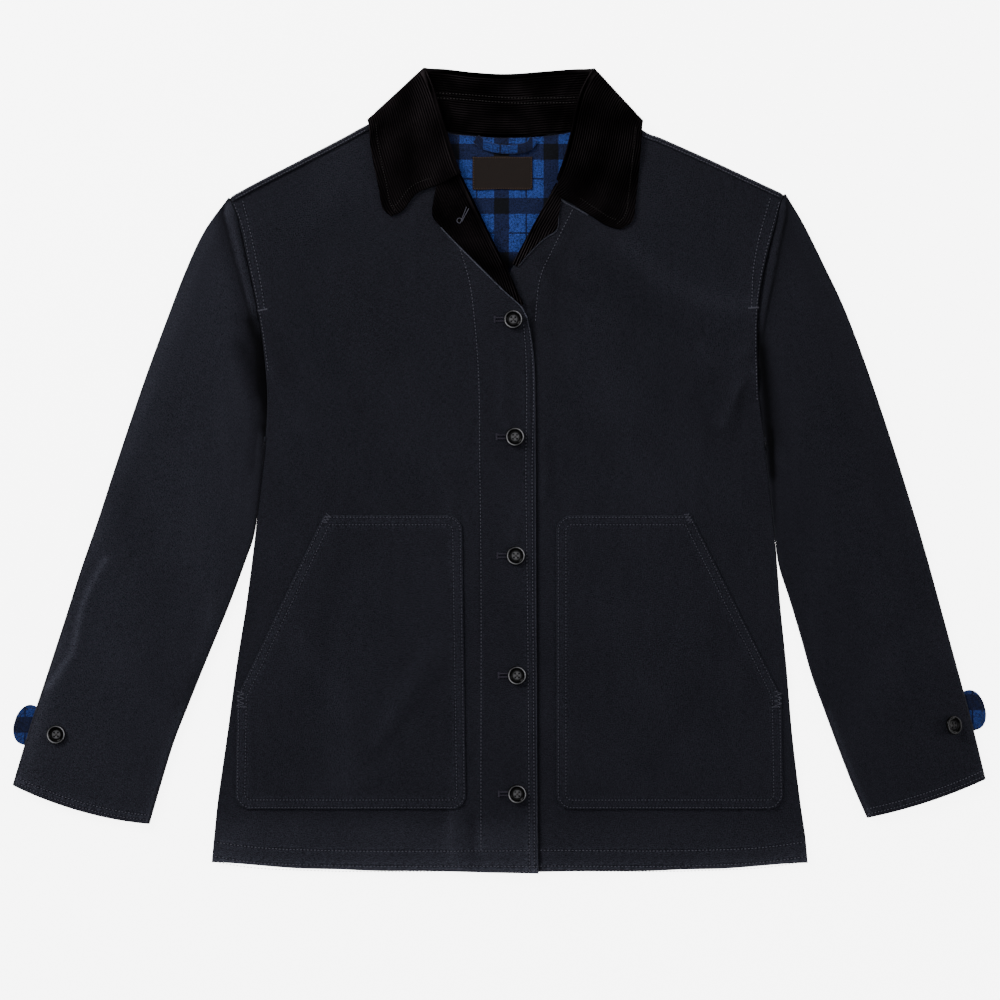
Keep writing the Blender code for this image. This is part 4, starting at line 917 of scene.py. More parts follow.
def pocket_outline(side, inset):
    """Pocket edge moved inwards, from the low end of the hand opening round to it again."""
    shape = POCKETS[side]
    way = SIGN[side]
    x_in_top, x_in_low = shape["inner_top"] - way * inset, shape["inner_bottom"] - way * inset
    top, bottom = POCKET_TOP + inset, POCKET_BOTTOM - inset
    low_x, low_y = shape["mouth_low"]
    slope = 1.25
    corner = max(POCKET_CORNER - inset, 4.0)
    mouth_low = (low_x + way * inset, low_y)
    mouth_top = (shape["mouth_top"] + way * inset * slope / 2, top)
    outer = shape["outer_bottom"] + way * inset
    arc = [(1 - math.sin(a), 1 - math.cos(a)) for a in np.radians([15, 35, 55, 75])]
    points = [mouth_low, mouth_top, (x_in_top - way * corner, top)]
    points += [(x_in_top - way * corner * dx, top + corner * dy) for dx, dy in arc]
    points += [(x_in_top, top + corner), (x_in_low, bottom - corner)]
    points += [(x_in_low - way * corner * dy, bottom - corner * dx) for dx, dy in arc]
    points += [(x_in_low - way * corner, bottom), (outer + way * corner, bottom)]
    points += [(outer + way * corner * dx, bottom - corner * dy) for dx, dy in arc]
    points += [(outer, bottom - corner), mouth_low]
    return np.array(points)


def rows_relief(xy, rows, depth=0.32, half=1.1, swell=0.22, swell_half=2.6, pucker=0.5):
    """Each stitch row sinks in, and the cloth beside it swells and puckers."""
    lines = [(row, -depth, half) for row in rows]
    return marks(xy, lines) + marks(xy, [(row, swell, swell_half) for row in rows], pucker, 6.5)


def front_relief(side, xy):
    rows = FRONT_ROWS[side] + HEM_ROWS[side] + ARMHOLE_ROWS[side]
    height = rows_relief(xy, rows)
    hem = marks(xy, [(HEM_ROWS[side][1], 1.0, 7.0)])
    height += hem * 0.16 * np.sin((xy[..., 0] * 0.8 + xy[..., 1]) * math.tau / 9.0)
    return height


def front_tone(side, xy):
    """Paler swells beside the rows, partly rubbed wear and partly painted light on their puckers; a paler hem;
    painted shade in the row grooves and the folds, painted light on the fold ridges; a painted shadow beside the
    right front's edge.
    """
    rows = FRONT_ROWS[side] + HEM_ROWS[side] + ARMHOLE_ROWS[side]
    tone = 1.0 + marks(xy, [(row, 0.10, 3.6) for row in rows], 0.9, 6.5)
    # painted shade in the groove of each row
    tone += marks(xy, [(row, -0.30, 0.9) for row in rows])
    # paler roped hem, with painted light on the roping ridges
    hem = marks(xy, [(HEM_ROWS[side][1], 1.0, 9.0)])
    tone += hem * (0.10 + 0.06 * np.sin((xy[..., 0] * 0.8 + xy[..., 1]) * math.tau / 9.0))
    low = smooth((np.interp(xy[..., 0], [212, 310, 700, 808], [862, 872, 873, 862]) - xy[..., 1] - 1.5) / 3.0)
    tone += (1.0 - low) * 0.2
    # paler towards the hem, more on the right front: partly wear, partly painted light
    tone *= 1.0 + {"right": 0.21, "left": 0.13}[side] * smooth((xy[..., 1] - 800.0) / 40.0)
    # painted fold shading: ridges paler, grooves darker
    tone += 0.13 * marks(xy, BODY_FOLDS)
    # painted shadow of the right front's edge on the left front
    if side == "left":
        beside = xy[..., 0] - np.interp(xy[..., 1], [348, 536, 872], [533, 536, 538.6])
        tone *= 1.0 - 0.45 * np.exp(-(beside / 3.0) ** 2) * (xy[..., 1] > 300)
    return tone


def paced(curves, pitch, wall=0.0, fine_start=0.0, fine_end=0.0, fine=1.0):
    """Parameters shared by several curves, spaced for the one that moves fastest."""
    t = np.linspace(0.0, 1.0, 600)
    step = np.max([np.linalg.norm(np.diff(spline(c, t), axis=0), axis=1) for c in curves], axis=0)
    done = np.concatenate([[0.0], np.cumsum(step)])
    return np.interp(spread(done[-1], pitch, wall, fine_start, fine_end, fine), done / done[-1], t)


def between(a, b, t):
    return np.asarray(a, float) + (np.asarray(b, float) - np.asarray(a, float)) * np.asarray(t, float)[..., None]


# Body

def front(side):
    outer, inner = SIDE[side], FRONT_EDGE[side]
    v = paced((outer, inner), BODY_PITCH, CANVAS, fine_start=24.0, fine=1.4)
    u = spread(300.0, BODY_PITCH, CANVAS, fine_start=8.0, fine_end=13.0, fine=1.2)
    top = spline(aside(curve(SHOULDER[side], 200), SHOULDER_INSET * SIGN[side]), u)
    top = top + between(outer[-1] - top[0], inner[-1] - top[-1], u)
    bottom = between(outer[0], inner[0], u)
    bottom[:, 1] += FRONT_HEM_SAG * (smooth(u / HEM_CORNER) - u)
    xy = coons(bottom, top, spline(outer, v), spline(inner, v), u, v)[::-1]
    if side == "left":
        xy = xy[:, ::-1]
    middle = with_height(xy, front_underside(side, xy) + CANVAS / 2)
    return shell("front_" + side, middle, CANVAS, "canvas", tone=front_tone(side, xy),
                 relief=front_relief(side, xy), replaces=("front_panel_" + side,))


def back():
    left = aside(curve(SIDE["right"], 120), GAP)
    right = aside(curve(SIDE["left"], 120), -GAP)
    radius = CANVAS + GAP
    shoulders = [aside(curve(SHOULDER[side], 120), SIGN[side] * (CANVAS / 2 + radius)) for side in ("right", "left")]
    neck = curve([shoulders[0][-1]] + BACK_NECK[1:-1] + [shoulders[1][-1]], 60)
    top_line = np.vstack([shoulders[0], neck[1:-1], shoulders[1][::-1]])
    v = paced((left, right), 6.0, CANVAS, fine_start=10.0, fine_end=0.0, fine=2.5)
    u = spread(560.0, 6.0, CANVAS, 4.0, 4.0, 2.0)
    knots = np.concatenate([np.linspace(0, 0.34, 120), np.linspace(0.34, 0.66, 60)[1:-1], np.linspace(0.66, 1, 120)])
    top = spline(top_line, u, knots)
    sides = []
    for line, end in ((left, top[0]), (right, top[-1])):
        edge = spline(line, v)
        share = smooth((v - 0.93) / 0.07)[:, None]
        sides.append(edge + (end - edge[-1]) * share)
    bottom = between(sides[0][0], sides[1][0], u)
    bottom[:, 1] += BACK_HEM_SAG * smooth(np.minimum(u, 1.0 - u) / HEM_CORNER)
    xy = coons(bottom, top, *sides, u, v)[::-1]
    obj = shell("back", with_height(xy, back_underside(xy) + CANVAS / 2), CANVAS, "canvas",
                replaces=("back_panel",))
    pieces = [obj]
    for side in ("right", "left"):
        line, way = curve(SHOULDER[side], 90), SIGN[side]
        rows = []
        for angle in np.radians(np.linspace(-90, 90, 9)):
            xy = aside(line, way * (CANVAS / 2 + radius * (1 - math.cos(angle))))
            base = back_underside(aside(line, way * (CANVAS / 2 + radius))) + CANVAS + GAP + CANVAS / 2
            rows.append(with_height(xy, base + radius * math.sin(angle)))
        for beyond in (0.35, 0.7, 0.9, 0.97, 1.0):
            xy = aside(line, way * (CANVAS / 2 + radius + SHOULDER_LAP * beyond))
            rows.append(with_height(xy, front_face(side, xy) + GAP + CANVAS / 2))
        grid = np.stack(rows)
        if side == "left":
            grid = grid[:, ::-1]
        band = np.ones(grid.shape[:2])
        band[4:8] = 1.1
        band[10:] = 1.25
        pieces.append(shell("shoulder_seam_" + side, grid, CANVAS, "canvas", tone=band))
    return pieces


# Sleeves

def sleeve_patch(side, u, v):
    """Board points of a sleeve seen flat; u and v are full grids."""
    levels, way = SLEEVE[side], -SIGN[side]
    armhole = SIDE[side][:UNDERARM - 1:-1]
    outer, inner = levels[:, 0], levels[:, 1]

    def top(t):
        seam = spline(armhole, t.ravel()).reshape(*t.shape, 2) + np.array([0.9 * way, 0.0])
        for share, end, seam_end in ((t, inner[0], armhole[-1]), (1.0 - t, outer[0], armhole[0])):
            near = smooth(1.0 - (1.0 - share) / 0.12)[..., None]
            seam = seam + (end - seam_end - np.array([0.9 * way, 0.0])) * near
        return seam

    def cuff(t):
        line = between(outer[-1], inner[-1], t)
        line[..., 1] += CUFF_SAG[side] * 4 * t * (1 - t)
        return line

    o = spline(outer, v.ravel()).reshape(*v.shape, 2)
    i = spline(inner, v.ravel()).reshape(*v.shape, 2)
    ends = [top(np.array([0.0]))[0], top(np.array([1.0]))[0], cuff(np.array([0.0]))[0], cuff(np.array([1.0]))[0]]
    s, w = u[..., None], v[..., None]
    return ((1 - w) * top(u) + w * cuff(u) + (1 - s) * o + s * i
            - (1 - s) * (1 - w) * ends[0] - s * (1 - w) * ends[1] - (1 - s) * w * ends[2] - s * w * ends[3])


def sleeve(side):
    levels = SLEEVE[side]
    v = paced((levels[:, 0], levels[:, 1]), BODY_PITCH, CANVAS, fine_start=0.0, fine_end=14.0, fine=1.4)
    ends = spline(levels[:, 0], v), spline(levels[:, 1], v)
    width = np.linalg.norm(ends[1] - ends[0], axis=1)
    turns = np.radians(np.linspace(-75, 75, 6))
    rows_u, rows_z, kind = [], [], []
    edge = (SLEEVE_FOLD + CANVAS / 2)
    for angle in turns:
        rows_u.append((CANVAS / 2 + SLEEVE_FOLD * (1 - math.cos(angle))) / width)
        rows_z.append(CANVAS / 2 + SLEEVE_FOLD * (1 + math.sin(angle)))
        kind.append(0)
    for share in spread(150.0, BODY_PITCH, 0.0):
        rows_u.append(edge / width + (1 - 2 * edge / width) * share)
        rows_z.append(0.0)
        kind.append(1)
    for angle in turns[::-1]:
        rows_u.append(1 - (CANVAS / 2 + SLEEVE_FOLD * (1 - math.cos(angle))) / width)
        rows_z.append(CANVAS / 2 + SLEEVE_FOLD * (1 + math.sin(angle)))
        kind.append(0)
    for share in np.linspace(1, 0, 14):
        rows_u.append(edge / width + (1 - 2 * edge / width) * share)
        rows_z.append(CANVAS / 2)
        kind.append(0)
    u = np.stack(rows_u, axis=1)
    xy = sleeve_patch(side, u, np.broadcast_to(v[:, None], u.shape))
    height = np.broadcast_to(np.array(rows_z), u.shape).copy()
    upper = np.array(kind) == 1
    height[:, upper] = sleeve_middle(side, xy[:, upper])
    along = np.concatenate([[0.0], np.cumsum(np.linalg.norm(np.diff((ends[0] + ends[1]) / 2, axis=0), axis=1))])
    uv = np.stack([(u - 0.5) * width[:, None], np.broadcast_to(-along[:, None], u.shape)], axis=-1) * MM
    relief = np.where(upper[None, :], sleeve_relief(side, xy, v), 0.0)
    tone = np.where(upper[None, :], sleeve_tone(side, xy), 1.0)
    middle = with_height(xy, height)
    if side == "left":
        middle, uv, relief, tone = middle[:, ::-1], uv[:, ::-1], relief[:, ::-1], tone[:, ::-1]
    return shell("sleeve_cloth_" + side, middle, CANVAS, "canvas", uv=uv, tone=tone, relief=relief,
                 replaces=("sleeve_" + side,), closed=True)


def cuff_rows(side):
    t = np.linspace(0.025, 0.975, 40)
    levels = SLEEVE[side]
    outer, inner = levels[-1, 0], levels[-1, 1]
    down = (levels[-1] - levels[-2]).mean(axis=0)
    down /= np.linalg.norm(down)
    line = between(outer, inner, t)
    line[:, 1] += CUFF_SAG[side] * 4 * t * (1 - t)
    return [line - down * inset for inset in (4.0, 9.2)]


def sleeve_relief(side, xy, v):
    return rows_relief(xy, cuff_rows(side), 0.3, 1.1, 0.25, 3.0)


# Painted shade in the sleeve's tone where hardly any light gets in: under the sleeve head, and in the hollow below
# the armhole
PAINTED_HOLLOW_SHADE = {
    "right": [([(251, 322), (258, 348), (263, 375), (266, 400), (266, 428)], 0.75, 7.0),
              ([(242, 347), (251, 368), (259, 392)], 0.45, 8.5),
              ([(261, 335), (266, 370), (267, 410)], 0.3, 5.0),
              ([(265, 425), (262, 470), (257, 520), (254, 560)], 0.35, 2.6)],
    "left": [([(759, 335), (762, 365), (765, 395), (769, 440), (772, 475)], 0.65, 5.0),
             ([(764, 350), (769, 385), (773, 410), (775, 440)], 0.3, 7.0),
             ([(771, 430), (773, 480), (774, 530), (775, 560)], 0.4, 2.6)],
}


def sleeve_shade(side, xy):
    # painted shadow below the step of the sleeve head, a painted lighter strip above it, and the painted hollow
    # shade; returned as a share of darkening
    step, place = away(xy, curve(SLEEVE_STEP[side]), signed=True)
    outside = step * SIGN[side]
    far = np.maximum(outside, 0.0)
    under = (0.42 * np.exp(-(far / 3.0) ** 2) + 0.2 * np.exp(-(far / 9.0) ** 2)) * smooth((outside + 1.0) / 1.5)
    strip = 0.11 * np.exp(-((outside + 5.0) / 4.0) ** 2)
    upper = 1.0 - smooth((place - 110.0) / 40.0)
    return np.clip((under - strip) * upper + marks(xy, PAINTED_HOLLOW_SHADE[side]), -0.3, 0.85)


def sleeve_tone(side, xy):
    rows = cuff_rows(side)
    # swells beside the cuff rows paler: partly wear, partly painted light on the puckers
    tone = 1.0 + marks(xy, [(row, 0.10, 3.8) for row in rows], 0.9, 6.5)
    # painted shade in the groove of each cuff row
    tone += marks(xy, [(row, -0.30, 0.9) for row in rows])
    # painted highlights along the sleeve edges and on a fold ridge that faces the light
    painted_highlights = {"right": [([(106, 560), (100, 569), (83, 603), (74, 649), (54, 680), (48, 687)], 0.22, 3.0),
                     (SLEEVE["right"][:, 0] + (5, 0), 0.12, 9.0), (SLEEVE["right"][-4:, 1] - (3, 0), 0.12, 5.0)],
           "left": [(SLEEVE["left"][:, 0] - (5, 0), 0.08, 7.0), (SLEEVE["left"][-4:, 1] + (3, 0), 0.30, 5.0)]}
    # painted highlights, and painted fold shading: ridges paler, grooves darker
    tone += marks(xy, painted_highlights[side]) + 0.05 * marks(xy, SLEEVE_FOLDS[side])
    # painted light: the right sleeve is painted brighter and the left one darker; painted shade from sleeve_shade
    return np.maximum(tone * {"right": 1.14, "left": 0.95}[side] * (1.0 - sleeve_shade(side, xy)), 0.1)


# Pockets

def pocket_sides(side, y):
    shape, inward = POCKETS[side], -SIGN[side]
    share = (y - POCKET_TOP) / (POCKET_BOTTOM - POCKET_TOP)
    inner = shape["inner_top"] + (shape["inner_bottom"] - shape["inner_top"]) * share
    low_x, low_y = shape["mouth_low"]
    outer = np.interp(y, [POCKET_TOP, low_y, POCKET_BOTTOM], [shape["mouth_top"], low_x, shape["outer_bottom"]])

    def round_off(distance):
        miss = np.maximum(POCKET_CORNER - distance, 0.0)
        return POCKET_CORNER - np.sqrt(np.maximum(POCKET_CORNER ** 2 - miss ** 2, 0.0))

    top_cut, bottom_cut = round_off(y - POCKET_TOP), round_off(POCKET_BOTTOM - y)
    return inner + inward * (top_cut + bottom_cut), outer - inward * bottom_cut


def pocket_surface(side, xy):
    return front_face(side, xy) + LAID_GAP + POCKET_CLOTH + 1.6 * marks(xy, POCKET_FOLDS) * pocket_calm(side, xy)


def pocket_calm(side, xy):
    return smooth(away(xy, pocket_outline(side, 0.0))[0] / 16.0)


def pocket(side):
    depth = POCKET_BOTTOM - POCKET_TOP
    y = POCKET_TOP + depth * spread(depth, 2.4, POCKET_CLOTH, 13.0, 13.0, 1.3)
    u = spread(205.0, 2.4, POCKET_CLOTH, 13.0, 13.0, 1.3)
    a, b = pocket_sides(side, y)
    left, right = np.minimum(a, b)[:, None], np.maximum(a, b)[:, None]
    xy = np.stack([left + (right - left) * u, np.broadcast_to(y[:, None], (len(y), len(u)))], axis=-1)
    rows = [pocket_outline(side, inset) for inset in POCKET_ROW_INSETS]
    edge = away(xy, pocket_outline(side, 0.0))[0]
    relief = rows_relief(xy, rows, 0.34, 1.1, 0.3, 3.0, 0.7)
    # swells beside the rows paler: partly wear, partly painted light on the puckers
    tone = 1.0 + marks(xy, [(row, 0.11, 3.4) for row in rows], 0.9, 6.5)
    # painted shade in the row grooves, and a painted highlight along the pocket's edge
    tone += marks(xy, [(row, -0.32, 0.9) for row in rows]) + 0.12 * np.exp(-(edge / 1.4) ** 2)
    # painted light: the right pocket is painted brighter; painted fold shading on top
    tone = tone * {"right": 1.05, "left": 1.0}[side] + 0.1 * marks(xy, POCKET_FOLDS)
    middle = with_height(xy, pocket_surface(side, xy) - POCKET_CLOTH / 2)
    return shell("patch_pocket_" + side, middle, POCKET_CLOTH, "canvas", tone=tone, relief=relief,
                 replaces=("pocket_" + side,))


# Collar

WALE_STEP = 0.62


def collar_heights(side, xy, v):
    lap = 1.0 - smooth((away(xy, SHOULDER[side])[0] - 14.0) / 14.0)
    lying = front_face(side, xy) + LAP_STEP * lap + LAID_GAP + CORDUROY / 2
    return lying + (FRONT_ROLL_HEIGHT - lying) * (1.0 - smooth(v / 0.45))


def front_stations(side, kind, v):
    """Where one lengthwise line of the collar passes the measured stations, from its front end up."""
    points = []
    for k, (seam, roll, edge) in enumerate(COLLAR[side]):
        roll, edge = np.array(roll, float), np.array(edge, float)
        start = roll + (edge - roll) / np.linalg.norm(edge - roll) * ROLL_RADIUS
        if kind == "stand":
            xy = between(seam, start, v)
            z = FRONT_SEAM_HEIGHT + (FRONT_STAND_HEIGHT - FRONT_SEAM_HEIGHT) * v
        elif kind == "roll":
            turn = math.radians(-90 + 180 * v)
            xy = roll + (start - roll) * (1 - math.cos(turn))
            z = (FRONT_ROLL_HEIGHT + FRONT_STAND_HEIGHT) / 2 + math.sin(turn) * (
                FRONT_ROLL_HEIGHT - FRONT_STAND_HEIGHT) / 2
        else:
            xy = spline(COLLAR_FRONT_EDGE[side], v)[0] if k == 0 else between(start, edge, v)
            z = collar_heights(side, xy[None], v)[0]
        points.append((*xy, float(z)))
    return np.array(points)


def back_stations(kind, v):
    count = len(COLLAR_TOP)
    points = []
    for k, (top, seam) in enumerate(zip(COLLAR_TOP, STAND_SEAM)):
        t = (k + 1) / (count + 1)
        under = spline(UNDER_COLLAR, 0.1 + 0.8 * t)[0]
        start = np.array((top[0], top[1] + ROLL_RADIUS))
        if kind == "stand":
            xy, z = between(seam, start, v), BACK_SEAM_HEIGHT + (BACK_STAND_HEIGHT - BACK_SEAM_HEIGHT) * v
        elif kind == "roll":
            turn = math.radians(90 - 180 * v)
            xy = np.array(top) + (start - np.array(top)) * (1 - math.cos(turn))
            middle = (BACK_STAND_HEIGHT + CORDUROY / 2) / 2
            z = middle + (BACK_STAND_HEIGHT - CORDUROY / 2) / 2 * math.sin(turn)
        else:
            xy, z = between(start, under, v), CORDUROY / 2
        points.append((*xy, z))
    return np.array(points)


def neck_turn(side, kind, v, front_end, back_z):
    """Where that line turns round the side of the neck, from the front layer to the back one."""
    peak, neck, corner = COLLAR_PEAK[side], COLLAR_NECK[side], COLLAR_CORNER[side]
    seam, roll, edge = (np.array(p, float) for p in BACK_START[side])
    start = roll + (0, ROLL_RADIUS)
    if kind == "stand":
        apex, behind = between(neck, between(peak, neck, 0.12), v), between(seam, start, v)
    elif kind == "roll":
        apex, behind = np.array(peak), roll
    else:
        apex, behind = between(between(peak, corner, 0.05), corner, v), between(start, edge, v)
    middle, radius = (front_end[2] + back_z) / 2, (front_end[2] - back_z) / 2
    points = []
    for angle in np.radians(np.linspace(72, -90, 10)):
        out = max(math.cos(angle), 0.0) ** FOLD_SQUARENESS
        up = abs(math.sin(angle)) ** FOLD_SQUARENESS
        xy = between(front_end[:2] if angle > 0 else behind, apex, out)
        points.append((*xy, middle + math.copysign(radius * up, angle)))
    return np.array(points)


def collar_line(kind, v):
    right, middle, left = front_stations("right", kind, v), back_stations(kind, v), front_stations("left", kind, v)
    turns = [neck_turn(side, kind, v, line[-1], middle[0][2]) for side, line in (("right", right), ("left", left))]
    t = spread(100.0, 2.6, CORDUROY)
    front_t = t[t < 0.985]
    back_points = spline(np.vstack([turns[0][-1:], middle, turns[1][-1:]]), np.linspace(0, 1, 64))[1:-1]
    return np.vstack([spline(right, front_t), turns[0], back_points, turns[1][::-1], spline(left, front_t)[::-1]])


COLLAR_ROW_INSET = 8.5


def sew_collar():
    """Edge rows on both falls, two rows along the stand, and the keyhole on the right lapel."""
    rows = []
    for side in ("right", "left"):
        down = front_stations(side, "fall", 1.0 - COLLAR_ROW_INSET / 78.0)
        down = spline(down, np.linspace(0.07, 1.0, 40))
        down[:, 2] += CORDUROY / 2 + 0.15
        front = aside(curve(COLLAR_FRONT_EDGE[side], 30), SIGN[side] * COLLAR_ROW_INSET)[7:-3]
        lying = collar_heights(side, front, 1.0) + CORDUROY / 2 + 0.15
        rows += [down, with_height(front, lying)]
    stitch("collar_stitches", rows, "collar_thread", pitch=2.6, length=1.3, width=0.6)
    stand = BACK_STAND_HEIGHT + CORDUROY / 2 + 0.25
    rows = [with_height(curve(line, 40), stand) for line in (
        [(437, 93.5), (470, 95.5), (510, 98.5), (545, 98.5), (574, 98)],
        [(438, 98.5), (470, 100.5), (510, 103.5), (545, 103.5), (573, 103)])]
    stitch("stand_stitches", rows, "collar_thread", pitch=3.2, length=2.0, width=0.8)
    turn = np.radians(np.linspace(-20, 290, 14))
    eye = np.stack([459.6 + 2.5 * np.cos(turn), 221.4 - 2.5 * np.sin(turn)], axis=1)[::-1]
    hole = np.vstack([(466.4, 208.2), eye, (468.6, 209.8)])
    lapel = lambda xy: front_face("right", xy) + LAID_GAP + FACING + 0.3
    stitch("keyhole_stitches", [seam_line(hole, lapel, 0.2, 0.7, False)], "thread", pitch=0.8, length=0.9, width=1.1,
           turn=90.0)


def collar():
    share = spread(46.0, WALE_STEP, CORDUROY)
    stand = share[share < 0.97]
    fall = 1.0 - spread(82.0, WALE_STEP, CORDUROY)[::-1]
    fall = fall[fall > 0.01]
    steps = [("stand", v) for v in stand] + [("roll", v) for v in (0.15, 0.38, 0.62, 0.85)]
    steps += [("fall", v) for v in fall]
    rows = np.stack([collar_line(kind, v) for kind, v in steps])
    for _ in range(2):
        rows[:, 1:-1] = rows[:, 1:-1] * 0.5 + (rows[:, 2:] + rows[:, :-2]) * 0.25
    across = np.cumsum(np.linalg.norm(np.diff(rows, axis=0, prepend=rows[:1]), axis=2), axis=0)
    across -= across[len(stand) + 1]
    along = np.cumsum(np.linalg.norm(np.diff(rows, axis=1, prepend=rows[:, :1]), axis=2), axis=1)
    along = np.broadcast_to(along[len(stand) + 1], across.shape)
    relief, tone = wales(across, along)
    uv = np.stack([across, along], axis=-1) * MM
    edge = across[-1] - across
    seam = 0.35 * np.exp(-((edge - 9.0) / 1.2) ** 2) * (across > 0)
    relief = relief - seam
    # painted highlight along the free edge of the fall
    tone = tone * (1.0 + 0.5 * np.exp(-(edge / 1.5) ** 2))
    # painted highlight on the right fall, strongest near the roll line, where it faces the light
    left_fall = smooth((along - along.max() * 0.6) / 60.0)
    tone = tone * (1.0 + (0.35 + 1.3 * np.exp(-across / 13.0)) * (1.0 - left_fall) * (across > 0))
    return shell("collar_folded", rows[::-1], CORDUROY, "corduroy", uv=uv[::-1], tone=tone[::-1],
                 relief=relief[::-1], replaces=("collar",))


def wales(across, along, height=0.5):
    """Rounded ribs with narrow grooves between them; the tone paints shade in the grooves and a highlight on the
    crests, partly wear, a little unevenly.
    """
    shift = 0.12 * np.sin(along / 31.0) + 0.08 * np.sin(along / 11.0 + 2.0)
    rib = np.abs(np.sin(math.pi * (across + shift) / WALE)) ** 0.7
    wear_and_highlight = 1.0 + 0.5 * np.sin(along / 13.0 + across / 9.0) * np.sin(along / 29.0 - across / 17.0)
    # painted shade in the grooves, painted highlight on the crests
    tone = 4.2 * rib ** 12 * wear_and_highlight
    return height * (rib - 0.6), tone


# Facings, lining, label and loop

def facing(side):
    table, way = FACINGS[side], SIGN[side]
    radius = (CANVAS + FACING) / 2 + GAP
    t = spread(120.0, 1.1, FACING)
    fold, free = spline(table[:, 0], t), spline(table[:, 1], t)
    out = free - fold
    width = np.linalg.norm(out, axis=1, keepdims=True)
    out = out / width
    centre, anchor = fold + out * (FACING / 2 + radius), fold + out * (FACING / 2 + 2 * radius)
    middle = front_underside(side, anchor) + CANVAS / 2
    reach = np.minimum(radius, width * 0.3)
    centre = fold + out * (FACING / 2 + reach)
    columns = [with_height(centre + out * FACING_TUCK * np.minimum(1.0, width / 20.0) * share, middle - radius)
               for share in (1.0, 0.9, 0.6, 0.3)]
    for angle in np.radians(np.linspace(-90, 90, 13)):
        columns.append(with_height(centre - out * reach * math.cos(angle), middle + radius * math.sin(angle)))
    start = np.minimum(FACING / 2 + radius, width * 0.6)
    for share in spread(26.0, 0.55, FACING)[4:]:
        at = fold + out * (start + (width - start) * share)
        lying = front_face(side, at) + LAID_GAP + FACING / 2
        columns.append(with_height(at, lying + (middle + radius - lying) * (1 - smooth(share / 0.3))))
    grid = np.stack(columns, axis=1)
    across = np.cumsum(np.linalg.norm(np.diff(grid, axis=1, prepend=grid[:, :1]), axis=2), axis=1)
    along = np.cumsum(np.linalg.norm(np.diff(grid, axis=0, prepend=grid[:1]), axis=2), axis=0)
    relief, tone = wales(across, along, 0.35)
    # painted light: the left lapel's corduroy is painted brighter than the right one's
    tone = tone * {"right": 1.0, "left": 1.9}[side]
    uv = np.stack([across, along], axis=-1) * MM
    parts = [grid, uv, tone, relief]
    if way > 0:
        parts = [part[:, ::-1] for part in parts]
    return shell("lapel_" + side, parts[0], FACING, "corduroy", uv=parts[1], tone=parts[2],
                 relief=parts[3], replaces=("facing_" + side,))


def lining_face(xy):
    soft = smooth(away(xy, LINING_TOP)[0] / 12.0)
    return back_underside(xy) + CANVAS + GAP + FLANNEL + soft * ripple(xy, 21, 70.0, 0.18)


def lining():
    u, v = spread(140.0, 2.6, FLANNEL), spread(195.0, 2.6, FLANNEL)
    low = between(LINING_SIDE["right"][-1], LINING_SIDE["left"][-1], u)
    sides = [spline(LINING_SIDE[side][::-1], v) for side in ("right", "left")]
    xy = coons(low, spline(LINING_TOP, u), *sides, u, v)[::-1]
    middle = with_height(xy, lining_face(xy) - FLANNEL / 2)
    # painted shade: darker under the collar's edge and towards the point of the V
    dark = np.exp(-(away(xy, LINING_TOP)[0] / 3.5) ** 2)
    tone = (1.0 - 0.4 * dark) * (1.0 - 0.92 * smooth((xy[..., 1] - 250.0) / 12.0))
    return shell("neck_lining", middle, FLANNEL, "flannel", tone=tone, replaces=("back_neck_lining",))


def label_height(xy):
    return lining_face(xy) + GAP + 0.1


def label():
    (x0, y0), (x1, y1) = LABEL
    u, v = spread(x1 - x0, 2.0, LABEL_CLOTH), spread(y1 - y0, 2.0, LABEL_CLOTH)
    xy = np.stack(np.meshgrid(x0 + (x1 - x0) * u, y0 + (y1 - y0) * v), axis=-1)
    xy[..., 1] += 0.5 * np.sin(xy[..., 0] * 0.16)
    middle = with_height(xy, label_height(xy) + LABEL_CLOTH / 2)
    return shell("bare_label", middle, LABEL_CLOTH, "label", replaces=("neck_label",))


def loop():
    t = spread(64.0, 1.5, FLANNEL)
    path = curve(LOOP_PATH, 200)
    grid, uv = [], []
    for share in spread(LOOP_WIDTH, 1.0, FLANNEL) - 0.5:
        xy = spline(aside(path, LOOP_WIDTH * share), t)
        bulge = 0.5 * (1.0 - (2 * share) ** 2)
        lift = lining_face(xy) + GAP + FLANNEL / 2 + 0.2 + 1.2 * np.sin(math.pi * t) + bulge
        grid.append(with_height(xy, lift))
    return shell("hanging_loop", np.stack(grid), FLANNEL, "loop_flannel", replaces=("locker_loop",))


# Tabs and buttons

def tab(side):
    root, outward = TABS[side]
    outward = np.array(outward) / np.linalg.norm(outward)
    across = np.array((-outward[1], outward[0]))
    thick = CANVAS + 0.2
    share = spread(TAB_LENGTH, 0.9, thick)
    round_part = np.maximum(share - 0.25, 0.0) / 0.75
    half = TAB_WIDTH / 2 * np.sqrt(np.maximum(1 - (round_part * 0.985) ** 2.2, 0.0))
    k = spread(TAB_WIDTH, 1.3, thick) * 2 - 1
    reach = TAB_LENGTH * share - TAB_TUCK * (1.0 - share)
    xy = np.array(root) + outward * reach[:, None, None] + across * (half[:, None] * k)[..., None]
    height = thick / 2 + 0.9 * (1 - smooth(share / 0.6))
    middle = with_height(xy, np.broadcast_to(height[:, None], xy.shape[:2]))
    rim = TAB_LENGTH * (1.0 - share)[:, None] + 0 * k
    inset = np.minimum(rim, half[:, None] * (1.0 - np.abs(k)))
    relief = -0.35 * np.exp(-((inset - 3.0) / 0.9) ** 2)
    if np.cross(outward, across) > 0:
        middle, relief = middle[:, ::-1], relief[:, ::-1]
    obj = shell("cuff_tab_cloth_" + side, middle, thick, "tab_flannel_" + side, relief=relief,
                replaces=("cuff_tab_" + side,))
    return obj, (np.array(root), outward, across)


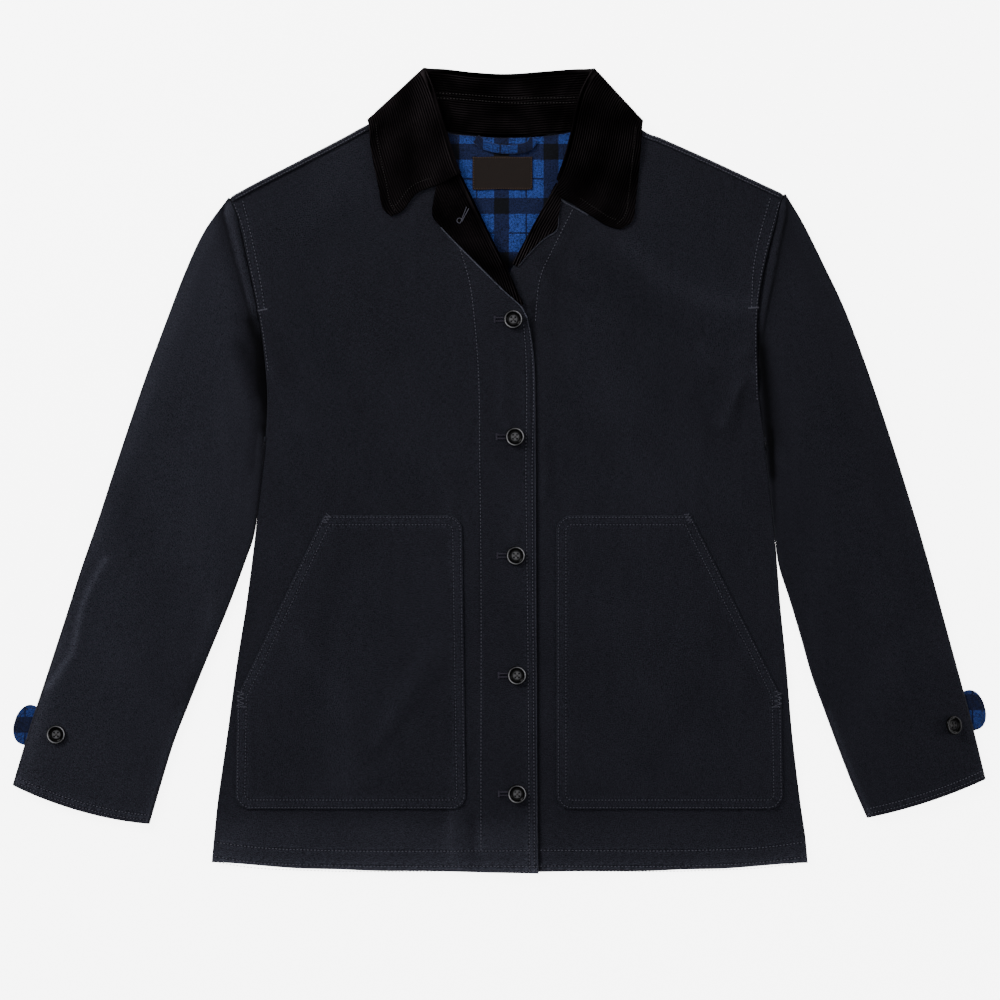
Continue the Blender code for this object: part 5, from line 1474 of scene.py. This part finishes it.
def tab_row(side):
    """Row of stitches just inside the rounded end of a cuff tab."""
    root, outward = TABS[side]
    outward = np.array(outward) / np.linalg.norm(outward)
    across = np.array((-outward[1], outward[0]))
    turn = np.radians(np.linspace(-80.0, 80.0, 30))[:, None]
    reach = (TAB_LENGTH - 3.0) * np.cos(turn) ** 0.8
    line = np.array(root) + outward * reach + across * (TAB_WIDTH / 2 - 3.0) * np.sin(turn)
    rise = CANVAS + 0.25 + 0.9 * (1 - smooth(reach[:, 0] / TAB_LENGTH / 0.6))
    return with_height(line, rise)


# Painted reflection, by distance from the middle of a button: pale dish, dark groove, bright lip
BUTTON_PAINTED_REFLECTION = ([0.0, 3.6, 4.6, 6.6, 7.3, 7.9, 8.25, 8.65, 9.1], [38.0, 28.0, 0.5, 0.3, 0.6, 45.0, 140.0, 40.0, 0.5])
# turn of the painted highlights on the lip
BUTTON_PAINTED_HIGHLIGHT_TURN = math.radians(30.0)


def button_shape():
    radius, thick = BUTTON_DIAMETER / 2, BUTTON_THICK
    profile = [(0.0, 0.0), (radius - 1.8, 0.0), (radius - 0.8, 0.35), (radius - 0.15, 1.05), (radius, 1.7),
               (radius - 0.12, 2.35), (radius - 0.4, 2.95), (radius - 0.85, thick - 0.05), (radius - 1.25, thick),
               (radius - 1.6, thick - 0.15), (radius - 2.2, thick - 0.75), (radius - 2.9, thick - 1.4),
               (radius - 3.5, thick - 1.75), (radius - 4.0, thick - 1.85), (4.6, thick - 1.7), (3.4, thick - 1.55),
               (0.0, thick - 1.5)]
    bm = bmesh.new()
    verts = [bm.verts.new((x * MM, 0.0, z * MM)) for x, z in profile]
    edges = [bm.edges.new(pair) for pair in zip(verts, verts[1:])]
    bmesh.ops.spin(bm, geom=verts + edges, cent=(0, 0, 0), axis=(0, 0, 1), angle=math.tau, steps=56,
                   use_duplicate=False)
    bmesh.ops.remove_doubles(bm, verts=bm.verts, dist=0.00002)
    bmesh.ops.recalc_face_normals(bm, faces=bm.faces)
    mesh = bpy.data.meshes.new("button_blank")
    bm.to_mesh(mesh)
    bm.free()
    blank = bpy.data.objects.new("button_blank", mesh)
    bpy.context.scene.collection.objects.link(blank)
    bm = bmesh.new()
    for sx, sy in ((-1, -1), (1, -1), (1, 1), (-1, 1)):
        made = bmesh.ops.create_cone(bm, cap_ends=True, segments=16, radius1=HOLE / 2 * MM, radius2=HOLE / 2 * MM,
                                     depth=4 * thick * MM)
        bmesh.ops.translate(bm, verts=made["verts"], vec=(sx * HOLE_SPACING / 2 * MM, sy * HOLE_SPACING / 2 * MM, 0))
    drill_mesh = bpy.data.meshes.new("drill")
    bm.to_mesh(drill_mesh)
    bm.free()
    drill = bpy.data.objects.new("drill", drill_mesh)
    bpy.context.scene.collection.objects.link(drill)
    cut = blank.modifiers.new("holes", "BOOLEAN")
    cut.object, cut.operation, cut.solver = drill, "DIFFERENCE", "EXACT"
    bpy.context.view_layer.update()
    drilled = bpy.data.meshes.new_from_object(blank.evaluated_get(bpy.context.evaluated_depsgraph_get()))
    bpy.data.objects.remove(blank)
    bpy.data.objects.remove(drill)
    spots = np.array([vert.co[:] for vert in drilled.vertices]) / MM
    far = np.hypot(spots[:, 0], spots[:, 1])
    around = np.arctan2(spots[:, 1], spots[:, 0]) - BUTTON_PAINTED_HIGHLIGHT_TURN
    # painted reflection: the lip brightest towards two opposite sides
    painted_reflection = np.interp(far, *BUTTON_PAINTED_REFLECTION) * np.where(far > 7.0, 0.6 + 0.4 * np.cos(2 * around), 1.0)
    painted_reflection[(spots[:, 2] < thick - 1.9) | (far > 9.3)] = 0.5
    drilled.attributes.new("tone", "FLOAT", "POINT").data.foreach_set("value", painted_reflection.astype(np.float32))
    return drilled


def thread_shape():
    """Two bars of thread over the middle of the button, one over the other."""
    bm = bmesh.new()
    reach = HOLE_SPACING / 2 * MM
    for turn, rise in ((45, 0.15), (135, 0.45)):
        way = Vector((math.cos(math.radians(turn)), math.sin(math.radians(turn)), 0.0))
        side = Vector((-way.y, way.x, 0.0))
        rings = []
        for k in range(9):
            s = k / 4 - 1
            centre = way * s * reach * 1.25 + Vector((0, 0, (BUTTON_THICK - 1.35 + rise - 2.2 * s ** 4) * MM))
            rings.append([bm.verts.new(centre + (side * math.cos(a) * 0.32 + Vector((0, 0, math.sin(a) * 0.3))) * MM)
                          for a in np.radians(np.arange(0, 360, 60))])
        for a, b in zip(rings, rings[1:]):
            for j in range(6):
                bm.faces.new((a[j], b[j], b[(j + 1) % 6], a[(j + 1) % 6]))
        bm.faces.new(rings[0])
        bm.faces.new(rings[-1][::-1])
    bmesh.ops.recalc_face_normals(bm, faces=bm.faces)
    mesh = bpy.data.meshes.new("button_thread_shape")
    bm.to_mesh(mesh)
    bm.free()
    return mesh


def seat(x, y, slope, top):
    radius = BUTTON_DIAMETER / 2 - BUTTON_BEVEL
    turn = np.radians(np.arange(0, 360, 45))
    d = np.stack([np.cos(turn), np.sin(turn)], axis=1) * radius
    heights = top(np.array([x, y]) + d) + d @ np.array(slope)
    return max(float(top(np.array([[x, y]]))[0]), float(heights.max())) + GAP


def buttons():
    shape, thread = button_shape(), thread_shape()
    pieces = []

    def place(name, node_name, x, y, height, tilt=None):
        matrix = Matrix.Translation(world(np.array([x, y, height])).tolist())
        if tilt:
            matrix = matrix @ tilt.to_4x4()
        for part, source, look in ((name, shape, "button"), (name + "_thread", thread, "collar_thread")):
            mesh = source.copy()
            mesh.transform(matrix)
            made = dress(part, mesh, look, (node_name,) if part == name else ())
            # softer painted reflection on the left cuff button
            if part == "cuff_button_left":
                values = np.zeros(len(mesh.vertices), np.float32)
                mesh.attributes["tone"].data.foreach_get("value", values)
                mesh.attributes["tone"].data.foreach_set("value", values ** 0.65)
            if part == name:
                mesh.set_sharp_from_angle(angle=math.radians(50))
            pieces.append(made)

    for number, (x, y) in enumerate(FRONT_BUTTONS, start=1):
        height = seat(x, y, (0.0, 0.0), lambda xy: front_face("right", xy))
        place(f"front_button_{number}", f"button_front_{number}", x, y, height)
    for side, (x, y, degrees) in CUFF_BUTTONS.items():
        turn, along = math.radians(degrees), Vector(CUFF_BUTTON_AXIS)
        slope = (-along.y * math.tan(turn), -along.x * math.tan(turn))
        height = seat(x, y, slope, lambda xy: sleeve_middle(side, xy) + CANVAS / 2)
        place("cuff_button_" + side, "button_cuff_" + side, x, y, height, Matrix.Rotation(-turn, 3, along))
    return pieces


# Stitching of every seam

def edge_folds():
    """Paler fold of canvas that shows along the lapels and down the front edge: partly worn edge, partly painted
    highlight along the roll.
    """
    face = lambda xy: front_face("right", xy)
    path = spline([(441, 227.5), (446.5, 234), (475, 263.2), (502, 290), (514.5, 301.0), (521.5, 308), (527, 318.5)],
                  np.linspace(0, 1, 50))
    lapel = with_height(path, face(path) + 0.35)
    path = spline([(527, 318.5), (531.5, 336), (534.6, 365), (535.6, 410), (536, 465), (536.5, 600), (537, 670),
                   (537.6, 806), (538.4, 871)], np.linspace(0, 1, 160))
    down = with_height(path, face(path) - 0.75)
    blend = smooth(np.linspace(0, 12, len(down)))
    down[:, 2] = face(down[:, :2]) + 0.35 - 0.5 * blend
    down[:, 0] -= 0.9 * blend
    sweep("lapel_edge_fold_right", lapel, 0.62, "canvas", tone=1.95)
    sweep("front_edge_fold", down, 0.62, "canvas", tone=1.35)
    face = lambda xy: front_face("left", xy)
    path = spline([(558.3, 214), (557.3, 228.5), (553, 234.0), (545.5, 238.3), (535.5, 247.3), (526.3, 257.2),
                   (518, 267)], np.linspace(0, 1, 40))
    sweep("lapel_edge_fold_left", with_height(path, face(path) + 0.5), 0.75, "canvas", tone=1.7)
    path = spline([(559.8, 199), (567, 204.5), (576, 209.0), (588, 215.8)], np.linspace(0, 1, 24))
    sweep("under_collar_fold_left", with_height(path, face(path) + 0.4), 0.8, "canvas", tone=1.6)


def armhole_tapes():
    """Canvas tape inside each armhole seam, which closes the narrow gap between body and sleeve."""
    for side in ("right", "left"):
        path = spline(SIDE[side][UNDERARM - 1:], np.linspace(0.0, 1.0, 160)) - (0.45 * SIGN[side], 0.0)
        path = np.vstack([path, path[-1] + (path[-1] - path[-6])])
        columns = [path + (shift, 0.0) for shift in (-2.2, -2.0, -1.6, -0.6, 0.0, 0.6, 1.6, 2.0, 2.2)]
        xy = np.stack(columns, axis=1)[::-1]
        rise = np.where(np.abs(xy[..., 0] - path[::-1, None, 0]) < 1.2, 3.35, 3.1)
        # painted shade: the tape is darker than the canvas round it, in the seam between body and sleeve
        shell("armhole_tape_" + side, with_height(xy, rise), 0.8, "canvas",
              tone=np.full(xy.shape[:2], 0.75))


def sew():
    for side in ("right", "left"):
        face = lambda xy: front_face(side, xy)
        rows = FRONT_ROWS[side] + HEM_ROWS[side] + ARMHOLE_ROWS[side]
        stitch("front_stitches_" + side, [seam_line(row, face) for row in rows], pitch=3.5, length=2.1, width=0.8)
        line, way = curve(SHOULDER[side], 60), SIGN[side]
        flange = lambda xy: front_underside(side, xy) + 2 * CANVAS + GAP
        rows = [aside(line[2:-14], way * inset) for inset in (1.9, 4.7)]
        stitch("shoulder_stitches_" + side, [seam_line(row, flange, 0.35) for row in rows], pitch=3.0,
               length=1.9, width=0.9)
        bar = [ARMHOLE_BARS[side], [(x, y + 0.8) for x, y in ARMHOLE_BARS[side]]]
        stitch("armhole_bar_" + side, [seam_line(row, face, 0.2, 1.0) for row in bar], pitch=1.1, length=1.5,
               width=0.7)
        cuff = lambda xy: sleeve_middle(side, xy) + CANVAS / 2
        stitch("cuff_stitches_" + side, [seam_line(row, cuff) for row in cuff_rows(side)], pitch=3.2, length=1.9,
               width=0.75)
        patch = lambda xy: pocket_surface(side, xy)
        rows = [seam_line(pocket_outline(side, inset), patch, smooth_line=False) for inset in POCKET_ROW_INSETS]
        stitch("pocket_stitches_" + side, rows, "soft_thread", pitch=3.3, length=1.9, width=0.75)
        tacks = [seam_line(zigzag(*ends), patch, 0.25, 1.0, False) for ends in POCKET_TACKS[side]]
        stitch("pocket_tacks_" + side, tacks, "soft_thread", pitch=1.1, length=1.3, width=0.7)
        stitch("tab_stitches_" + side, [tab_row(side)], "collar_thread", pitch=2.8, length=1.6, width=0.6)
    holes = []
    face = lambda xy: front_face("right", xy)
    for x, y in FRONT_BUTTONS:
        for dy in (-1.7, 1.7):
            holes.append(seam_line([(x - 18, y + dy), (x - 8, y + dy)], face, 0.15, 1.0))
        holes.append(seam_line([(x - 18.4, y - 2.8), (x - 18.4, y + 2.8)], face, 0.3, 1.0))
    stitch("buttonhole_stitches", holes, "purple_thread", pitch=0.9, length=1.0, width=2.1)
    (x0, y0), (x1, y1) = LABEL
    border = [(x0 + 1.3, y0 + 1.3), (x1 - 1.3, y0 + 1.3), (x1 - 1.3, y1 - 1.3), (x0 + 1.3, y1 - 1.3),
              (x0 + 1.3, y0 + 1.3)]
    cloth = lambda xy: label_height(xy) + LABEL_CLOTH
    stitch("label_stitches", [seam_line(border, cloth, 0.1, 1.5, False)], "tan_thread", pitch=2.4, length=1.7,
           width=0.7)


def cut(obj, pattern, held="laid", rests_on=()):
    return obj


back_cloth, *shoulder_seams = back()
cut(back_cloth, "back")
for piece in shoulder_seams:
    cut(piece, "shoulder", rests_on=(back_cloth,))
neck_lining = cut(lining(), "lining", rests_on=(back_cloth,))
cut(label(), "label", rests_on=(neck_lining,))
cut(loop(), "loop", rests_on=(neck_lining,))
fronts = {}
for side in ("left", "right"):
    fronts[side] = cut(front(side), "front", rests_on=(back_cloth,))
    cut(sleeve(side), "sleeve")
    cut(facing(side), "facing_" + side, rests_on=(fronts[side],))
    cut(pocket(side), "pocket", rests_on=(fronts[side],))
    cut(tab(side)[0], "tab")
cut(collar(), "collar", held="folded", rests_on=(back_cloth, fronts["left"], fronts["right"]))
buttons()
edge_folds()
armhole_tapes()
sew()
sew_collar()

floor = bpy.data.meshes.new("pale_floor")
floor.from_pydata([(-3, -3, -0.0006), (3, -3, -0.0006), (3, 3, -0.0006), (-3, 3, -0.0006)], [], [(0, 1, 2, 3)])
floor.materials.append(floor_look())
sweep_floor = bpy.data.objects.new("pale_floor", floor)
bpy.context.scene.collection.objects.link(sweep_floor)

sky = bpy.data.worlds.new("soft_sky")
sky.use_nodes = True
sky.node_tree.nodes["Background"].inputs[0].default_value = (1.0, 1.0, 1.0, 1.0)
sky.node_tree.nodes["Background"].inputs[1].default_value = 0.30
bpy.context.scene.world = sky


def lamp(name, place, size, power, aim=(0.0, -0.03, 0.0)):
    light = bpy.data.lights.new(name, "AREA")
    light.shape, light.size, light.energy = "SQUARE", size, power
    obj = bpy.data.objects.new(name, light)
    obj.location = place
    obj.rotation_euler = (Vector(aim) - Vector(place)).to_track_quat("-Z", "Y").to_euler()
    bpy.context.scene.collection.objects.link(obj)


lamp("soft_box_overhead", (0.2, 0.1, 3.2), 2.2, 42.0)
lamp("soft_box_upper_left", (-1.9, 1.5, 1.5), 1.1, 112.0)
lamp("soft_box_right", (2.1, 0.2, 1.3), 0.9, 24.0)

lens = bpy.data.cameras.new("overhead")
lens.lens, lens.sensor_width = 85.0, 36.0
camera = bpy.data.objects.new("overhead", lens)
camera.location = (0.00044, -0.02932, 2.3611 + 0.004)
bpy.context.scene.collection.objects.link(camera)
bpy.context.scene.camera = camera
